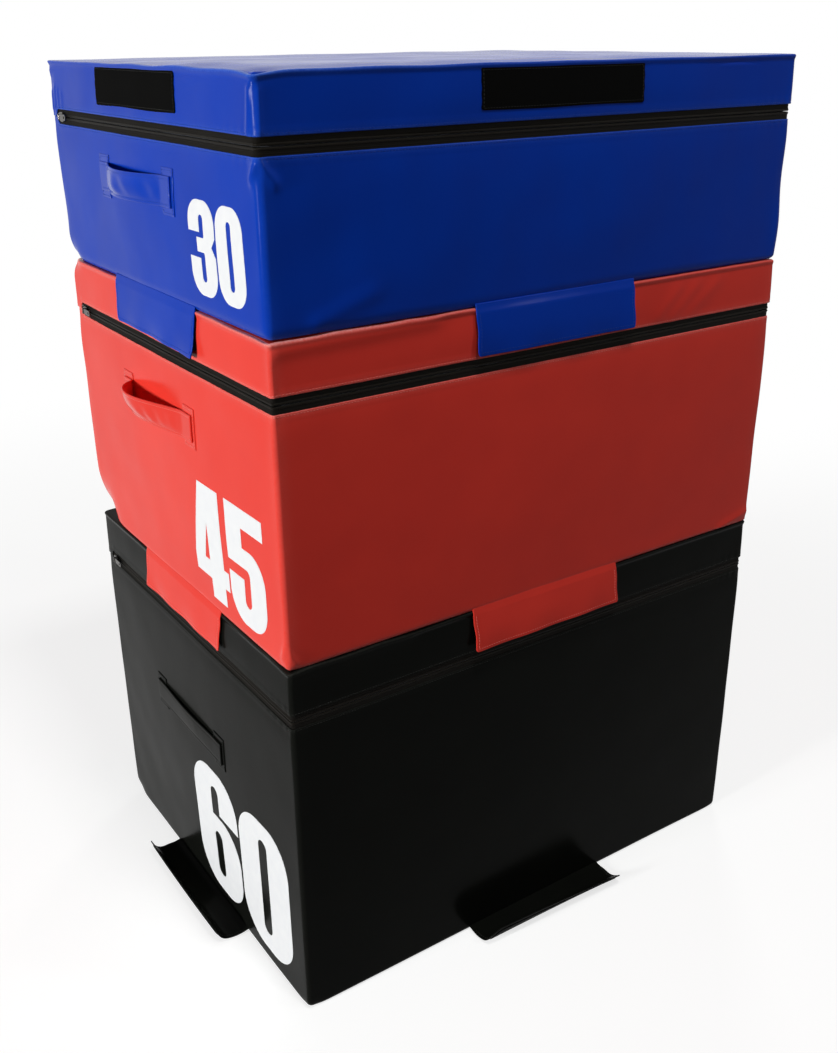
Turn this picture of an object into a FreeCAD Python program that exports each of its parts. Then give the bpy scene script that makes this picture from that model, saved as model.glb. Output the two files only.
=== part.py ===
import FreeCAD
import Part
import Sketcher
import math
import os
import re
from FreeCAD import Placement, Rotation, Vector

# A stack of three soft jump boxes. Each is a foam block in a zipped vinyl cover, and hook-and-loop
# flaps on each box grip the lid of the box below it. Millimetres and degrees, +Z up, with the
# origin at the centre of the bottom face. The front is -Y and the numbered end is -X.

# Driving dimensions: name, value, meaning
SIZES = [
    ("box_length", "900", "front face, side to side"),
    ("box_width", "700", "end face, side to side"),
    ("black_height", "600", "lowest box"),
    ("red_height", "450", "middle box"),
    ("blue_height", "300", "top box"),
    ("corner_radius", "20", "upright edges of a cover"),
    ("top_edge_radius", "5", "round of a lid's top edges"),
    ("bottom_edge_radius", "8", "round of a cover's bottom edges"),
    ("wall", "2", "vinyl with its backing"),
    ("core_clearance", "5.5", "foam block to the cover's walls"),
    ("core_headroom", "1", "foam block to the lid"),
    ("core_edge_radius", "10", "round of the foam block's top edges"),
    ("zip_drop", "80", "middle of the zip below the box's top"),
    ("zip_band", "21", "height of the zip that shows between the hems"),
    ("zip_end_margin", "25", "end of the zip to the back face"),
    ("seam_gap", "0.3", "between lid and tub at the sewn back seam"),
    ("tape_thickness", "0.8", "zip tape"),
    ("tape_lap", "10", "zip tape behind a hem"),
    ("tape_bite", "1", "zip tape inside the coil"),
    ("coil_height", "4.3", "one side of the zip's coil, along the face"),
    ("coil_thickness", "3", "one side of the zip's coil, through the face"),
    ("coil_inset", "0.8", "coil behind the cover's face"),
    ("coil_slit", "1.4", "parting line between the two coils"),
    ("slider_length", "20", "zip slider, along the zip"),
    ("slider_width", "14", "zip slider, across the zip"),
    ("slider_tail", "9", "narrow end of the slider"),
    ("slider_plate", "1.5", "outer plate of the slider"),
    ("slider_back", "1.2", "inner plate of the slider"),
    ("slider_gap", "0.4", "slider plates to the coil"),
    ("slider_park", "45", "middle of the parked slider to the back face"),
    ("neck_length", "6", "neck between the slider's plates"),
    ("neck_height", "0.8", "neck between the slider's plates"),
    ("lug_length", "5", "ears that hold the pull's pin"),
    ("lug_thickness", "1.4", "ears that hold the pull's pin"),
    ("lug_rise", "4.2", "ears above the slider's outer plate"),
    ("pin_diameter", "2", "pin of the pull"),
    ("pin_height", "2.6", "pin above the slider's outer plate"),
    ("pin_clearance", "0.05", "pin to the pull's knuckle, radial"),
    ("knuckle_diameter", "4.2", "knuckle of the pull"),
    ("knuckle_width", "5.4", "knuckle of the pull, between the ears"),
    ("knuckle_play", "0.3", "knuckle to each ear"),
    ("pull_length", "30", "pull from its pin to its end"),
    ("pull_width", "9", "pull's tab"),
    ("pull_thickness", "1.6", "pull's tab"),
    ("pull_eye", "4", "hole in the pull's tab"),
    ("strap_width", "40", "handle strap, up and down"),
    ("strap_thickness", "3", "handle strap"),
    ("strap_tab", "30", "sewn end of a handle strap"),
    ("handle_span", "190", "free length between the sewn ends"),
    ("handle_bend", "30", "bend where the strap leaves its sewn end"),
    ("handle_setback", "368", "handle's middle behind the front face"),
    ("black_handle_bow", "12", "strap's stand-off at the middle"),
    ("red_handle_bow", "24", "strap's stand-off at the middle"),
    ("blue_handle_bow", "15", "strap's stand-off at the middle"),
    ("black_handle_level", "335", "handle's middle above the box's bottom"),
    ("red_handle_level", "278", "handle's middle above the box's bottom"),
    ("blue_handle_level", "148", "handle's middle above the box's bottom"),
    ("anchor_length", "36", "patch under a handle's sewn end"),
    ("anchor_height", "60", "patch under a handle's sewn end"),
    ("anchor_thickness", "1.2", "patch under a handle's sewn end"),
    ("loop_width", "275", "loop patch on a lid's rim"),
    ("loop_height", "50", "loop patch on a lid's rim"),
    ("loop_thickness", "1", "loop patch on a lid's rim"),
    ("flap_width", "285", "flap on a cover's bottom edge"),
    ("flap_thickness", "2", "flap of doubled vinyl"),
    ("flap_reach", "64", "hanging flap below its box"),
    ("flap_root", "4", "middle of a flap's folded root above the box's bottom"),
    ("flap_play", "0.3", "folded root to the cover"),
    ("flap_knee", "6", "where a hanging flap turns straight down, below its box"),
    ("flap_landing", "9", "where a spread flap meets the floor, from the wall"),
    ("flap_flat", "21", "part of a spread flap that lies flat"),
    ("curl_radius", "30", "curl of a spread flap's outer part"),
    ("curl_angle", "62", "curl of a spread flap's outer part"),
    ("hook_width", "265", "hook strip inside a flap"),
    ("hook_height", "44", "hook strip inside a flap"),
    ("hook_margin", "6", "hook strip to the flap's free edge"),
    ("hook_thickness", "0.8", "hook strip inside a flap"),
    ("hook_gap", "0.3", "hook strip to loop patch"),
    ("ink_thickness", "0.4", "printed numerals"),
    ("black_digit_width", "163", "numeral 6 or 0"),
    ("black_digit_height", "250", "numerals of the lowest box"),
    ("black_digit_counter", "27", "hollow between two uprights"),
    ("black_digit_bar", "33", "level strokes"),
    ("black_digit_gap", "6", "between the two numerals"),
    ("black_digit_margin", "43", "numerals to the front face"),
    ("black_digit_base", "26", "numerals above the box's bottom"),
    ("red_digit_width", "110", "numeral 4 or 5"),
    ("red_digit_height", "179", "numerals of the middle box"),
    ("red_digit_counter", "19", "hollow between two uprights"),
    ("red_digit_bar", "30", "level strokes"),
    ("red_digit_gap", "5", "between the two numerals"),
    ("red_digit_margin", "50", "numerals to the front face"),
    ("red_digit_base", "23", "numerals above the box's bottom"),
    ("blue_digit_width", "74", "numeral 3 or 0"),
    ("blue_digit_height", "120", "numerals of the top box"),
    ("blue_digit_counter", "12", "hollow between two uprights"),
    ("blue_digit_bar", "18", "level strokes"),
    ("blue_digit_gap", "4", "between the two numerals"),
    ("blue_digit_margin", "45", "numerals to the front face"),
    ("blue_digit_base", "28", "numerals above the box's bottom"),
]

# Each box from the floor up: its name, the level of its bottom and its two numerals
BOXES = [
    ("black", "0", "60"),
    ("red", "black_height", "45"),
    ("blue", "black_height + red_height", "30"),
]

# Each side of a box: the turn that takes +Y outwards, and the middle of its face
SIDES = {
    "front": (180, "0", "-box_width / 2"),
    "back": (0, "0", "box_width / 2"),
    "left": (90, "-box_length / 2", "0"),
    "right": (-90, "box_length / 2", "0"),
}

# On the numbered end, X runs towards the front, Y runs up and Z points out of the face
END_FACE = Rotation(Vector(0, -1, 0), Vector(0, 0, 1), Vector(-1, 0, 0), "XYZ")
LEFT_TURN = 1
RIGHT_TURN = -1
EDGE_TOLERANCE = 1e-4

doc = FreeCAD.newDocument("JumpBoxes")
dims = doc.addObject("Spreadsheet::Sheet", "dims")
NAMES = {name for name, _, _ in SIZES}
nodes = []


def fill_sheet():
    for row, (name, number, meaning) in enumerate(SIZES, start=1):
        dims.set(f"A{row}", meaning)
        dims.set(f"B{row}", number)
        dims.setAlias(f"B{row}", name)
    doc.recompute()


def formula(text):
    """An expression with the sheet's name put before each of its sizes."""
    return re.sub(r"[a-z]\w*", lambda word: "dims." + word[0] if word[0] in NAMES else word[0], text)


def number(text):
    return float(dims.evalExpression(formula(text)))


def new_body(label, turn, x, y, z):
    body = doc.addObject("PartDesign::Body", label)
    body.Label = label
    body.Placement = Placement(Vector(), turn)
    for axis, text in zip("xyz", (x, y, z)):
        body.setExpression(f"Placement.Base.{axis}", formula(text))
    return body


def new_sketch(body, name, plane, lift="0"):
    sketch = body.newObject("Sketcher::SketchObject", name)
    origin = next(f for f in body.Origin.OriginFeatures if f.Role == plane)
    sketch.AttachmentSupport = (origin, [""])
    sketch.MapMode = "FlatFace"
    sketch.setExpression("AttachmentOffset.Base.z", formula(lift))
    return sketch


def arc_between(start, end, radius, turn):
    chord = end - start
    side = Vector(-chord.y, chord.x, 0).normalize() * turn
    rise = math.sqrt(max(radius**2 - (chord.Length / 2) ** 2, 0))
    centre = (start + end) / 2 + side * rise
    first, last = (start, end) if turn == LEFT_TURN else (end, start)
    angles = [math.atan2(p.y - centre.y, p.x - centre.x) for p in (first, last)]
    if angles[1] < angles[0]:
        angles[1] += 2 * math.pi
    return Part.ArcOfCircle(Part.Circle(centre, Vector(0, 0, 1), radius), *angles)


def draw_loop(sketch, corners):
    """One closed loop. A corner is (x, y), or (x, y, radius, turn) where an arc leads to the next."""
    points = [Vector(number(c[0]), number(c[1]), 0) for c in corners]
    count = len(corners)
    first = sketch.GeometryCount
    edges, ends = [], []
    for k, corner in enumerate(corners):
        start, end = points[k], points[(k + 1) % count]
        if len(corner) == 2:
            edges.append(Part.LineSegment(start, end))
            ends.append((1, 2))
        else:
            edges.append(arc_between(start, end, number(corner[2]), corner[3]))
            ends.append((1, 2) if corner[3] == LEFT_TURN else (2, 1))
    sketch.addGeometry(edges, False)
    bound, limits = [], []
    for k, corner in enumerate(corners):
        edge, before = first + k, first + (k - 1) % count
        limits.append(Sketcher.Constraint("Coincident", before, ends[k - 1][1], edge, ends[k][0]))
        for kind, along, text in zip(("DistanceX", "DistanceY"), points[k], corner):
            bound.append((sketch.ConstraintCount + len(limits), text))
            limits.append(Sketcher.Constraint(kind, -1, 1, edge, ends[k][0], along))
        if len(corner) > 2:
            bound.append((sketch.ConstraintCount + len(limits), corner[2]))
            limits.append(Sketcher.Constraint("Radius", edge, number(corner[2])))
    sketch.addConstraint(limits)
    for place, text in bound:
        sketch.setExpression(f"Constraints[{place}]", formula(text))


def draw_circle(sketch, diameter):
    ring = sketch.addGeometry(Part.Circle(Vector(), Vector(0, 0, 1), number(diameter) / 2), False)
    sketch.addConstraint(Sketcher.Constraint("Coincident", ring, 3, -1, 1))
    size = sketch.addConstraint(Sketcher.Constraint("Diameter", ring, number(diameter)))
    sketch.setExpression(f"Constraints[{size}]", formula(diameter))


def extrude(body, kind, sketch, length, symmetric=False, reverse=False):
    feature = body.newObject(f"PartDesign::{kind}", f"{sketch.Name}_{kind.lower()}")
    feature.Profile = sketch
    feature.setExpression("Length", formula(length))
    feature.SideType = "Symmetric" if symmetric else "One side"
    feature.Reversed = reverse
    doc.recompute()
    return feature


def pad_loops(body, name, plane, loops, length, lift="0", symmetric=False):
    sketch = new_sketch(body, name, plane, lift)
    for loop in loops:
        draw_loop(sketch, loop)
    return extrude(body, "Pad", sketch, length, symmetric)


def cut_loop(body, name, plane, loop, length, lift="0"):
    sketch = new_sketch(body, name, plane, lift)
    draw_loop(sketch, loop)
    before = body.Shape.Volume
    extrude(body, "Pocket", sketch, length, reverse=True)
    if body.Shape.Volume >= before:
        raise RuntimeError(f"{name} cuts nothing")


def round_edges(body, base, level, radius):
    """Round every edge of a feature that lies at one level."""
    picked = []
    for k, edge in enumerate(base.Shape.Edges, start=1):
        box = edge.BoundBox
        if max(abs(box.ZMin - level), abs(box.ZMax - level)) < EDGE_TOLERANCE:
            picked.append(f"Edge{k}")
    feature = body.newObject("PartDesign::Fillet", f"{base.Name}_round")
    feature.Base = (base, picked)
    feature.setExpression("Radius", formula(radius))
    doc.recompute()
    return feature


def hollow(body, base, level):
    """Leave the cover's wall inside a block that is open at one level."""
    open_face = [
        f"Face{k}"
        for k, face in enumerate(base.Shape.Faces, start=1)
        if abs(face.BoundBox.ZMin - level) + abs(face.BoundBox.ZMax - level) < EDGE_TOLERANCE
    ]
    feature = body.newObject("PartDesign::Thickness", f"{base.Name}_wall")
    feature.Base = (base, open_face)
    feature.setExpression("Value", formula("wall"))
    feature.Reversed = True
    doc.recompute()


def plain_box(label, corner, sides):
    box = doc.addObject("Part::Box", label)
    box.Label = label
    for axis, text in zip("xyz", corner):
        box.setExpression(f"Placement.Base.{axis}", formula(text))
    for side, text in zip(("Length", "Width", "Height"), sides):
        box.setExpression(side, formula(text))
    return box


def group(label, members):
    """Several like pieces that share one node."""
    joined = doc.addObject("Part::Compound", label)
    joined.Label = label
    joined.Links = members
    nodes.append(joined)


def rectangle(left, bottom, right, top):
    return [(left, bottom), (right, bottom), (right, top), (left, top)]


def rounded(half_x, half_y, radius):
    """A rectangle about the origin with round corners."""
    x, y, r = f"({half_x})", f"({half_y})", f"({radius})"
    return [
        (f"-{x} + {r}", f"-{y}"),
        (f"{x} - {r}", f"-{y}", r, LEFT_TURN),
        (x, f"-{y} + {r}"),
        (x, f"{y} - {r}", r, LEFT_TURN),
        (f"{x} - {r}", y),
        (f"-{x} + {r}", y, r, LEFT_TURN),
        (f"-{x}", f"{y} - {r}"),
        (f"-{x}", f"-{y} + {r}", r, LEFT_TURN),
    ]


def plan(inset):
    """The cover's plan, drawn in by an inset."""
    return rounded(f"box_length / 2 - {inset}", f"box_width / 2 - {inset}", f"corner_radius - {inset}")


def zip_run(inset, depth):
    """A band along the zip: one end, the front and the other end, with round front corners."""
    x, y, r = (f"({size} - {inset})" for size in ("box_length / 2", "box_width / 2", "corner_radius"))
    end = "box_width / 2 - zip_end_margin"
    return [
        (f"-{x}", end),
        (f"-{x}", f"-{y} + {r}", r, LEFT_TURN),
        (f"-{x} + {r}", f"-{y}"),
        (f"{x} - {r}", f"-{y}", r, LEFT_TURN),
        (x, f"-{y} + {r}"),
        (x, end),
        (f"{x} - {depth}", end),
        (f"{x} - {depth}", f"-{y} + {r}", f"{r} - {depth}", RIGHT_TURN),
        (f"{x} - {r}", f"-{y} + {depth}"),
        (f"-{x} + {r}", f"-{y} + {depth}", f"{r} - {depth}", RIGHT_TURN),
        (f"-{x} + {depth}", f"-{y} + {r}"),
        (f"-{x} + {depth}", end),
    ]


def zip_opening():
    """Everything in front of the zip's back ends, a wall's width past the cover."""
    side = "box_length / 2 + wall"
    return rectangle(f"-({side})", "-box_width / 2 - wall", side, "box_width / 2 - zip_end_margin")


def foam_core(box, base):
    body = new_body(f"{box}_foam_core", Rotation(), "0", "0", f"{base} + wall")
    tall = f"{box}_height - 2 * wall - core_headroom"
    block = pad_loops(body, f"{box}_core_plan", "XY_Plane", [plan("(wall + core_clearance)")], tall)
    foot = round_edges(body, block, 0, "bottom_edge_radius")
    round_edges(body, foot, number(tall), "core_edge_radius")
    nodes.append(body)


def cover_tub(box, base):
    body = new_body(f"{box}_cover_tub", Rotation(), "0", "0", base)
    tall = f"{box}_height - zip_drop - seam_gap / 2"
    block = pad_loops(body, f"{box}_tub_plan", "XY_Plane", [plan("0")], tall)
    block = round_edges(body, block, 0, "bottom_edge_radius")
    hollow(body, block, number(tall))
    hem = f"{box}_height - zip_drop - zip_band / 2"
    cut_loop(body, f"{box}_tub_opening", "XY_Plane", zip_opening(), "zip_band", hem)
    nodes.append(body)


def cover_lid(box, base):
    seam = f"{base} + {box}_height - zip_drop + seam_gap / 2"
    body = new_body(f"{box}_cover_lid", Rotation(), "0", "0", seam)
    tall = "zip_drop - seam_gap / 2"
    block = pad_loops(body, f"{box}_lid_plan", "XY_Plane", [plan("0")], tall)
    block = round_edges(body, block, number(tall), "top_edge_radius")
    hollow(body, block, 0)
    cut_loop(body, f"{box}_lid_opening", "XY_Plane", zip_opening(), "zip_band / 2 - seam_gap / 2")
    nodes.append(body)


def zip_stringer(box, base, half, up):
    """Tape and coil along one side of the zip; up is 1 above the parting line and -1 below it."""
    body = new_body(f"{box}_zip_{half}", Rotation(), "0", "0", f"{base} + {box}_height - zip_drop")
    tape_near, tape_far = "coil_slit / 2 + coil_height - tape_bite", "zip_band / 2 + tape_lap"
    tape_tall = f"{tape_far} - ({tape_near})"
    tape_low = tape_near if up == 1 else f"-({tape_far})"
    coil_low = "coil_slit / 2" if up == 1 else "-coil_slit / 2 - coil_height"
    tape = [zip_run("wall", "tape_thickness")]
    pad_loops(body, f"{box}_{half}_tape", "XY_Plane", tape, tape_tall, tape_low)
    coil = [zip_run("coil_inset", "coil_thickness")]
    pad_loops(body, f"{box}_{half}_coil", "XY_Plane", coil, "coil_height", coil_low)
    nodes.append(body)


def slider_outline():
    """A plate with a broad mouth and a tapered tail."""
    return [
        ("-slider_length / 2", "-slider_tail / 2"),
        ("0", "-slider_width / 2"),
        ("slider_length / 2", "-slider_width / 2"),
        ("slider_length / 2", "slider_width / 2"),
        ("0", "slider_width / 2"),
        ("-slider_length / 2", "slider_tail / 2"),
    ]


def zip_slider(box, base):
    level = f"{base} + {box}_height - zip_drop"
    body = new_body(f"{box}_zip_slider", END_FACE, "-box_length / 2", "box_width / 2 - slider_park", level)
    back_face = "-(coil_inset + coil_thickness + slider_gap + slider_back)"
    plate_face = "slider_gap - coil_inset"
    ear = "knuckle_width / 2 + knuckle_play"
    pad_loops(body, f"{box}_slider_back", "XY_Plane", [slider_outline()], "slider_back", back_face)
    neck = rectangle("-neck_length / 2", "-neck_height / 2", "neck_length / 2", "neck_height / 2")
    neck_rise = f"{plate_face} + slider_plate - ({back_face})"
    pad_loops(body, f"{box}_slider_neck", "XY_Plane", [neck], neck_rise, back_face)
    pad_loops(body, f"{box}_slider_plate", "XY_Plane", [slider_outline()], "slider_plate", plate_face)
    ear_top = f"{ear} + lug_thickness"
    for name, low, high in (("lower", f"-({ear_top})", f"-({ear})"), ("upper", ear, ear_top)):
        lug = rectangle("-lug_length / 2", low, "lug_length / 2", high)
        pad_loops(body, f"{box}_slider_{name}_ear", "XY_Plane", [lug], "slider_plate + lug_rise", plate_face)
    pin = new_sketch(body, f"{box}_slider_pin", "XZ_Plane")
    pin.setExpression("AttachmentOffset.Base.y", formula(f"{plate_face} + slider_plate + pin_height"))
    draw_circle(pin, "pin_diameter")
    extrude(body, "Pad", pin, f"2 * ({ear_top})", symmetric=True)
    nodes.append(body)


def zip_pull(box, base):
    pin = "-box_length / 2 - (slider_gap - coil_inset + slider_plate + pin_height)"
    level = f"{base} + {box}_height - zip_drop"
    body = new_body(f"{box}_zip_pull", END_FACE, pin, "box_width / 2 - slider_park", level)
    knuckle = new_sketch(body, f"{box}_pull_knuckle", "XZ_Plane")
    draw_circle(knuckle, "knuckle_diameter")
    draw_circle(knuckle, "pin_diameter + 2 * pin_clearance")
    extrude(body, "Pad", knuckle, "knuckle_width", symmetric=True)
    shank_start = "pin_diameter / 2 + (knuckle_diameter - pin_diameter) / 4"
    shank_end = "lug_length / 2 + pull_width / 2"
    shank = rectangle(shank_start, "-knuckle_width / 2", shank_end, "knuckle_width / 2")
    pad_loops(body, f"{box}_pull_shank", "XY_Plane", [shank], "pull_thickness", symmetric=True, lift="0")
    tab = [
        ("lug_length / 2 + pull_width / 4", "-pull_width / 2"),
        ("pull_length - pull_width / 2", "-pull_width / 2", "pull_width / 2", LEFT_TURN),
        ("pull_length", "0", "pull_width / 2", LEFT_TURN),
        ("pull_length - pull_width / 2", "pull_width / 2"),
        ("lug_length / 2 + pull_width / 4", "pull_width / 2"),
    ]
    eye_left, eye_right = "pull_length - pull_width / 2 - pull_eye", "pull_length - pull_width / 2"
    eye = rectangle(eye_left, "-pull_eye / 2", eye_right, "pull_eye / 2")
    pad_loops(body, f"{box}_pull_tab", "XY_Plane", [tab, eye], "pull_thickness", symmetric=True)
    nodes.append(body)


def handle(box, base, side):
    """A strap sewn down flat at both ends that bows out from the wall between them."""
    turn, x, _ = SIDES[side]
    low = f"{base} + {box}_handle_level - strap_width / 2"
    middle = "handle_setback - box_width / 2"
    body = new_body(f"{box}_{side}_handle", Rotation(Vector(0, 0, 1), turn), x, middle, low)
    bow, half, inner, thick = f"{box}_handle_bow", "handle_span / 2", "anchor_thickness", "strap_thickness"
    swing = f"(2 * atan({bow} / ({half})))"
    crest = f"(({half}) / sin{swing} - handle_bend)"
    tab = f"{half} + strap_tab"
    near_x, near_y = f"handle_bend * sin{swing}", f"{inner} + handle_bend * (1 - cos{swing})"
    far_x = f"(handle_bend - {thick}) * sin{swing}"
    far_y = f"{inner} + handle_bend - (handle_bend - {thick}) * cos{swing}"
    outer = f"{inner} + {thick}"
    strap = [
        (f"-({tab})", inner),
        (f"-({half})", inner, "handle_bend", LEFT_TURN),
        (f"-({half}) + {near_x}", near_y, crest, RIGHT_TURN),
        (f"{half} - {near_x}", near_y, "handle_bend", LEFT_TURN),
        (half, inner),
        (tab, inner),
        (tab, outer),
        (half, outer, f"handle_bend - {thick}", RIGHT_TURN),
        (f"{half} - {far_x}", far_y, f"{crest} + {thick}", LEFT_TURN),
        (f"-({half}) + {far_x}", far_y, f"handle_bend - {thick}", RIGHT_TURN),
        (f"-({half})", outer),
        (f"-({tab})", outer),
    ]
    pad_loops(body, f"{box}_{side}_strap", "XY_Plane", [strap], "strap_width")
    nodes.append(body)


def handle_anchors(box, base):
    patches = []
    low = f"{base} + {box}_handle_level - anchor_height / 2"
    for side, x in (("left", "-box_length / 2 - anchor_thickness"), ("right", "box_length / 2")):
        for end, y in (
            ("front", "handle_setback - box_width / 2 - handle_span / 2 - anchor_length"),
            ("back", "handle_setback - box_width / 2 + handle_span / 2"),
        ):
            sides = ("anchor_thickness", "anchor_length", "anchor_height")
            patches.append(plain_box(f"{box}_{side}_{end}_anchor", (x, y, low), sides))
    group(f"{box}_handle_anchors", patches)


def flap_root():
    """How far out a flap's folded root stands, beside the round of the cover's bottom edge."""
    reach = "(bottom_edge_radius + flap_play + flap_thickness / 2)"
    return f"(sqrt({reach}^2 - (bottom_edge_radius - flap_root)^2) - bottom_edge_radius)"


def hanging_flap():
    """From its root in the bottom seam, out over the loop patch below, then straight down."""
    inside = "(loop_thickness + hook_gap + hook_thickness)"
    outside = f"({inside} + flap_thickness)"
    root, half = flap_root(), "flap_thickness / 2"
    return [
        (inside, "-flap_reach"),
        (outside, "-flap_reach"),
        (outside, "-flap_knee"),
        (f"{root} + {half}", "flap_root", half, LEFT_TURN),
        (root, f"flap_root + {half}", half, LEFT_TURN),
        (f"{root} - {half}", "flap_root"),
        (inside, "-flap_knee"),
    ]


def hanging_hooks():
    inside = "loop_thickness + hook_gap"
    low = "-flap_reach + hook_margin"
    return rectangle(inside, low, f"{inside} + hook_thickness", f"{low} + hook_height")


def curl_point(radius, angle):
    """A point on the curl of a spread flap."""
    middle = "(hook_thickness + flap_thickness / 2 + curl_radius)"
    return f"flap_landing + flap_flat + ({radius}) * sin({angle})", f"{middle} - ({radius}) * cos({angle})"


def spread_flap():
    """From its root down to the floor, along it on its hook strip, then curling up."""
    root, half = flap_root(), "flap_thickness / 2"
    under, over = "curl_radius + flap_thickness / 2", "curl_radius - flap_thickness / 2"
    low, high = "hook_thickness", "hook_thickness + flap_thickness"
    return [
        (root, f"flap_root - {half}"),
        ("flap_landing", low),
        ("flap_landing + flap_flat", low, under, LEFT_TURN),
        curl_point(under, "curl_angle"),
        (*curl_point(over, "curl_angle"), over, RIGHT_TURN),
        ("flap_landing + flap_flat", high),
        ("flap_landing", high),
        (root, f"flap_root + {half}", half, LEFT_TURN),
        (f"{root} - {half}", "flap_root", half, LEFT_TURN),
    ]


def spread_hooks():
    under = "curl_radius + flap_thickness / 2"
    lower = f"{under} + hook_thickness"
    angle = "curl_angle - 180 / pi * hook_margin / curl_radius"
    start = f"flap_landing + flap_flat + curl_radius * pi / 180 * ({angle}) - hook_height"
    return [
        (start, "0"),
        ("flap_landing + flap_flat", "0", lower, LEFT_TURN),
        curl_point(lower, angle),
        (*curl_point(under, angle), under, RIGHT_TURN),
        ("flap_landing + flap_flat", "hook_thickness"),
        (start, "hook_thickness"),
    ]


def flap(box, base, side, spread):
    turn, x, y = SIDES[side]
    profiles = (spread_flap(), spread_hooks()) if spread else (hanging_flap(), hanging_hooks())
    for kind, profile, width in zip(("flap", "flap_hooks"), profiles, ("flap_width", "hook_width")):
        body = new_body(f"{box}_{side}_{kind}", Rotation(Vector(0, 0, 1), turn), x, y, base)
        pad_loops(body, f"{box}_{side}_{kind}_profile", "YZ_Plane", [profile], width, symmetric=True)
        nodes.append(body)


def loop_patches(box, base):
    low = f"{base} + {box}_height - top_edge_radius - loop_height"
    along = ("loop_width", "loop_thickness", "loop_height")
    across = ("loop_thickness", "loop_width", "loop_height")
    places = {
        "front": (("-loop_width / 2", "-box_width / 2 - loop_thickness", low), along),
        "back": (("-loop_width / 2", "box_width / 2", low), along),
        "left": (("-box_length / 2 - loop_thickness", "-loop_width / 2", low), across),
        "right": (("box_length / 2", "-loop_width / 2", low), across),
    }
    patches = [plain_box(f"{box}_{side}_loop", *place) for side, place in places.items()]
    group(f"{box}_loop_patches", patches)


def slot_outline(left, bottom, right, top):
    """An upright slot with round ends."""
    r, middle = f"(({right}) - ({left})) / 2", f"(({left}) + ({right})) / 2"
    return [
        (right, f"{bottom} + {r}"),
        (right, f"{top} - {r}", r, LEFT_TURN),
        (middle, top, r, LEFT_TURN),
        (left, f"{top} - {r}"),
        (left, f"{bottom} + {r}", r, LEFT_TURN),
        (middle, bottom, r, LEFT_TURN),
    ]


def numeral(digit, box):
    """A numeral's loops: round outer corners, round-ended counters, heavy uprights and lighter bars."""
    w, h, c, b = (f"{box}_digit_{size}" for size in ("width", "height", "counter", "bar"))
    s, q, middle = f"(({w} - {c}) / 2)", f"({c} / 2)", f"{w} / 2"
    r = f"({w} / 2 - {s} / 4)"
    foot = [
        (r, "0"),
        (f"{w} - {r}", "0", r, LEFT_TURN),
    ]
    head = [
        (w, f"{h} - {r}", r, LEFT_TURN),
        (f"{w} - {r}", h),
        (r, h, r, LEFT_TURN),
    ]
    # the inner edge of an open bowl, from its right side round the bottom to its left end
    bowl = [
        (f"{w} - {s}", f"{b} + {q}", q, RIGHT_TURN),
        (middle, b, q, RIGHT_TURN),
        (s, f"{b} + {q}"),
        (s, f"{h} * 2 / 5"),
        ("0", f"{h} * 2 / 5"),
        ("0", r, r, LEFT_TURN),
    ]
    arch = [
        (s, f"{h} - {b} - {q}", q, RIGHT_TURN),
        (middle, f"{h} - {b}", q, RIGHT_TURN),
        (f"{w} - {s}", f"{h} - {b} - {q}"),
    ]
    back = [("0", f"{h} - {r}"), ("0", r, r, LEFT_TURN)]
    if digit == "0":
        return [foot + [(w, r)] + head + back, slot_outline(s, b, f"{w} - {s}", f"{h} - {b}")]
    if digit == "3":
        waist, notch = f"({h} / 2 + {b} / 4)", f"{b} * 2 / 3"
        bar_high, bar_low, bar_end = f"{waist} + {b} / 2", f"{waist} - {b} / 2", f"{w} * 3 / 10"
        right = [
            (w, r),
            (w, f"{waist} - {notch}"),
            (f"{w} - {s} / 3", waist),
            (w, f"{waist} + {notch}"),
        ]
        left = [
            ("0", f"{h} - {r}"),
            ("0", f"{h} * 2 / 3"),
            (s, f"{h} * 2 / 3"),
        ]
        tongue = [
            (f"{w} - {s}", f"{bar_high} + {q} / 2", f"{q} / 2", RIGHT_TURN),
            (f"{w} - {s} - {q} / 2", bar_high),
            (bar_end, bar_high),
            (bar_end, bar_low),
            (f"{w} - {s} - {q} / 2", bar_low, f"{q} / 2", RIGHT_TURN),
            (f"{w} - {s}", f"{bar_low} - {q} / 2"),
        ]
        return [foot + right + head + left + arch + tongue + bowl]
    if digit == "4":
        stem_left, stem_right = f"({w} - {s} * 4 / 3)", f"({w} - {s} / 3)"
        top_left, inner = f"({w} - {s} * 7 / 4)", f"({s} * 3 / 4)"
        bar_low, bar_high = b, f"(2 * {b})"
        peak = f"{bar_high} + ({stem_left} - {inner}) * ({h} - {bar_high}) / {top_left}"
        return [
            [
                (stem_left, "0"),
                (stem_right, "0"),
                (stem_right, bar_low),
                (w, bar_low),
                (w, bar_high),
                (stem_right, bar_high),
                (stem_right, h),
                (top_left, h),
                ("0", bar_high),
                ("0", bar_low),
                (stem_left, bar_low),
            ],
            [(inner, bar_high), (stem_left, bar_high), (stem_left, peak)],
        ]
    crown = f"({h} / 2 + {b})"
    belly = [
        (w, r),
        (w, f"{crown} - {r}", r, LEFT_TURN),
        (f"{w} - {r}", crown),
        (s, crown),
    ]
    if digit == "5":
        flag = [
            (s, f"{h} - {b}"),
            (w, f"{h} - {b}"),
            (w, h),
            ("0", h),
            ("0", f"{crown} - {b}"),
            (middle, f"{crown} - {b}", q, RIGHT_TURN),
            (f"{w} - {s}", f"{crown} - {b} - {q}"),
        ]
        return [foot + belly + flag + bowl]
    tip = [
        (f"{w} - {s}", f"{crown} + {b} / 4"),
        (w, f"{crown} + {b} / 4"),
    ]
    return [foot + belly + arch + tip + head + back, slot_outline(s, b, f"{w} - {s}", f"{h} / 2")]


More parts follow.
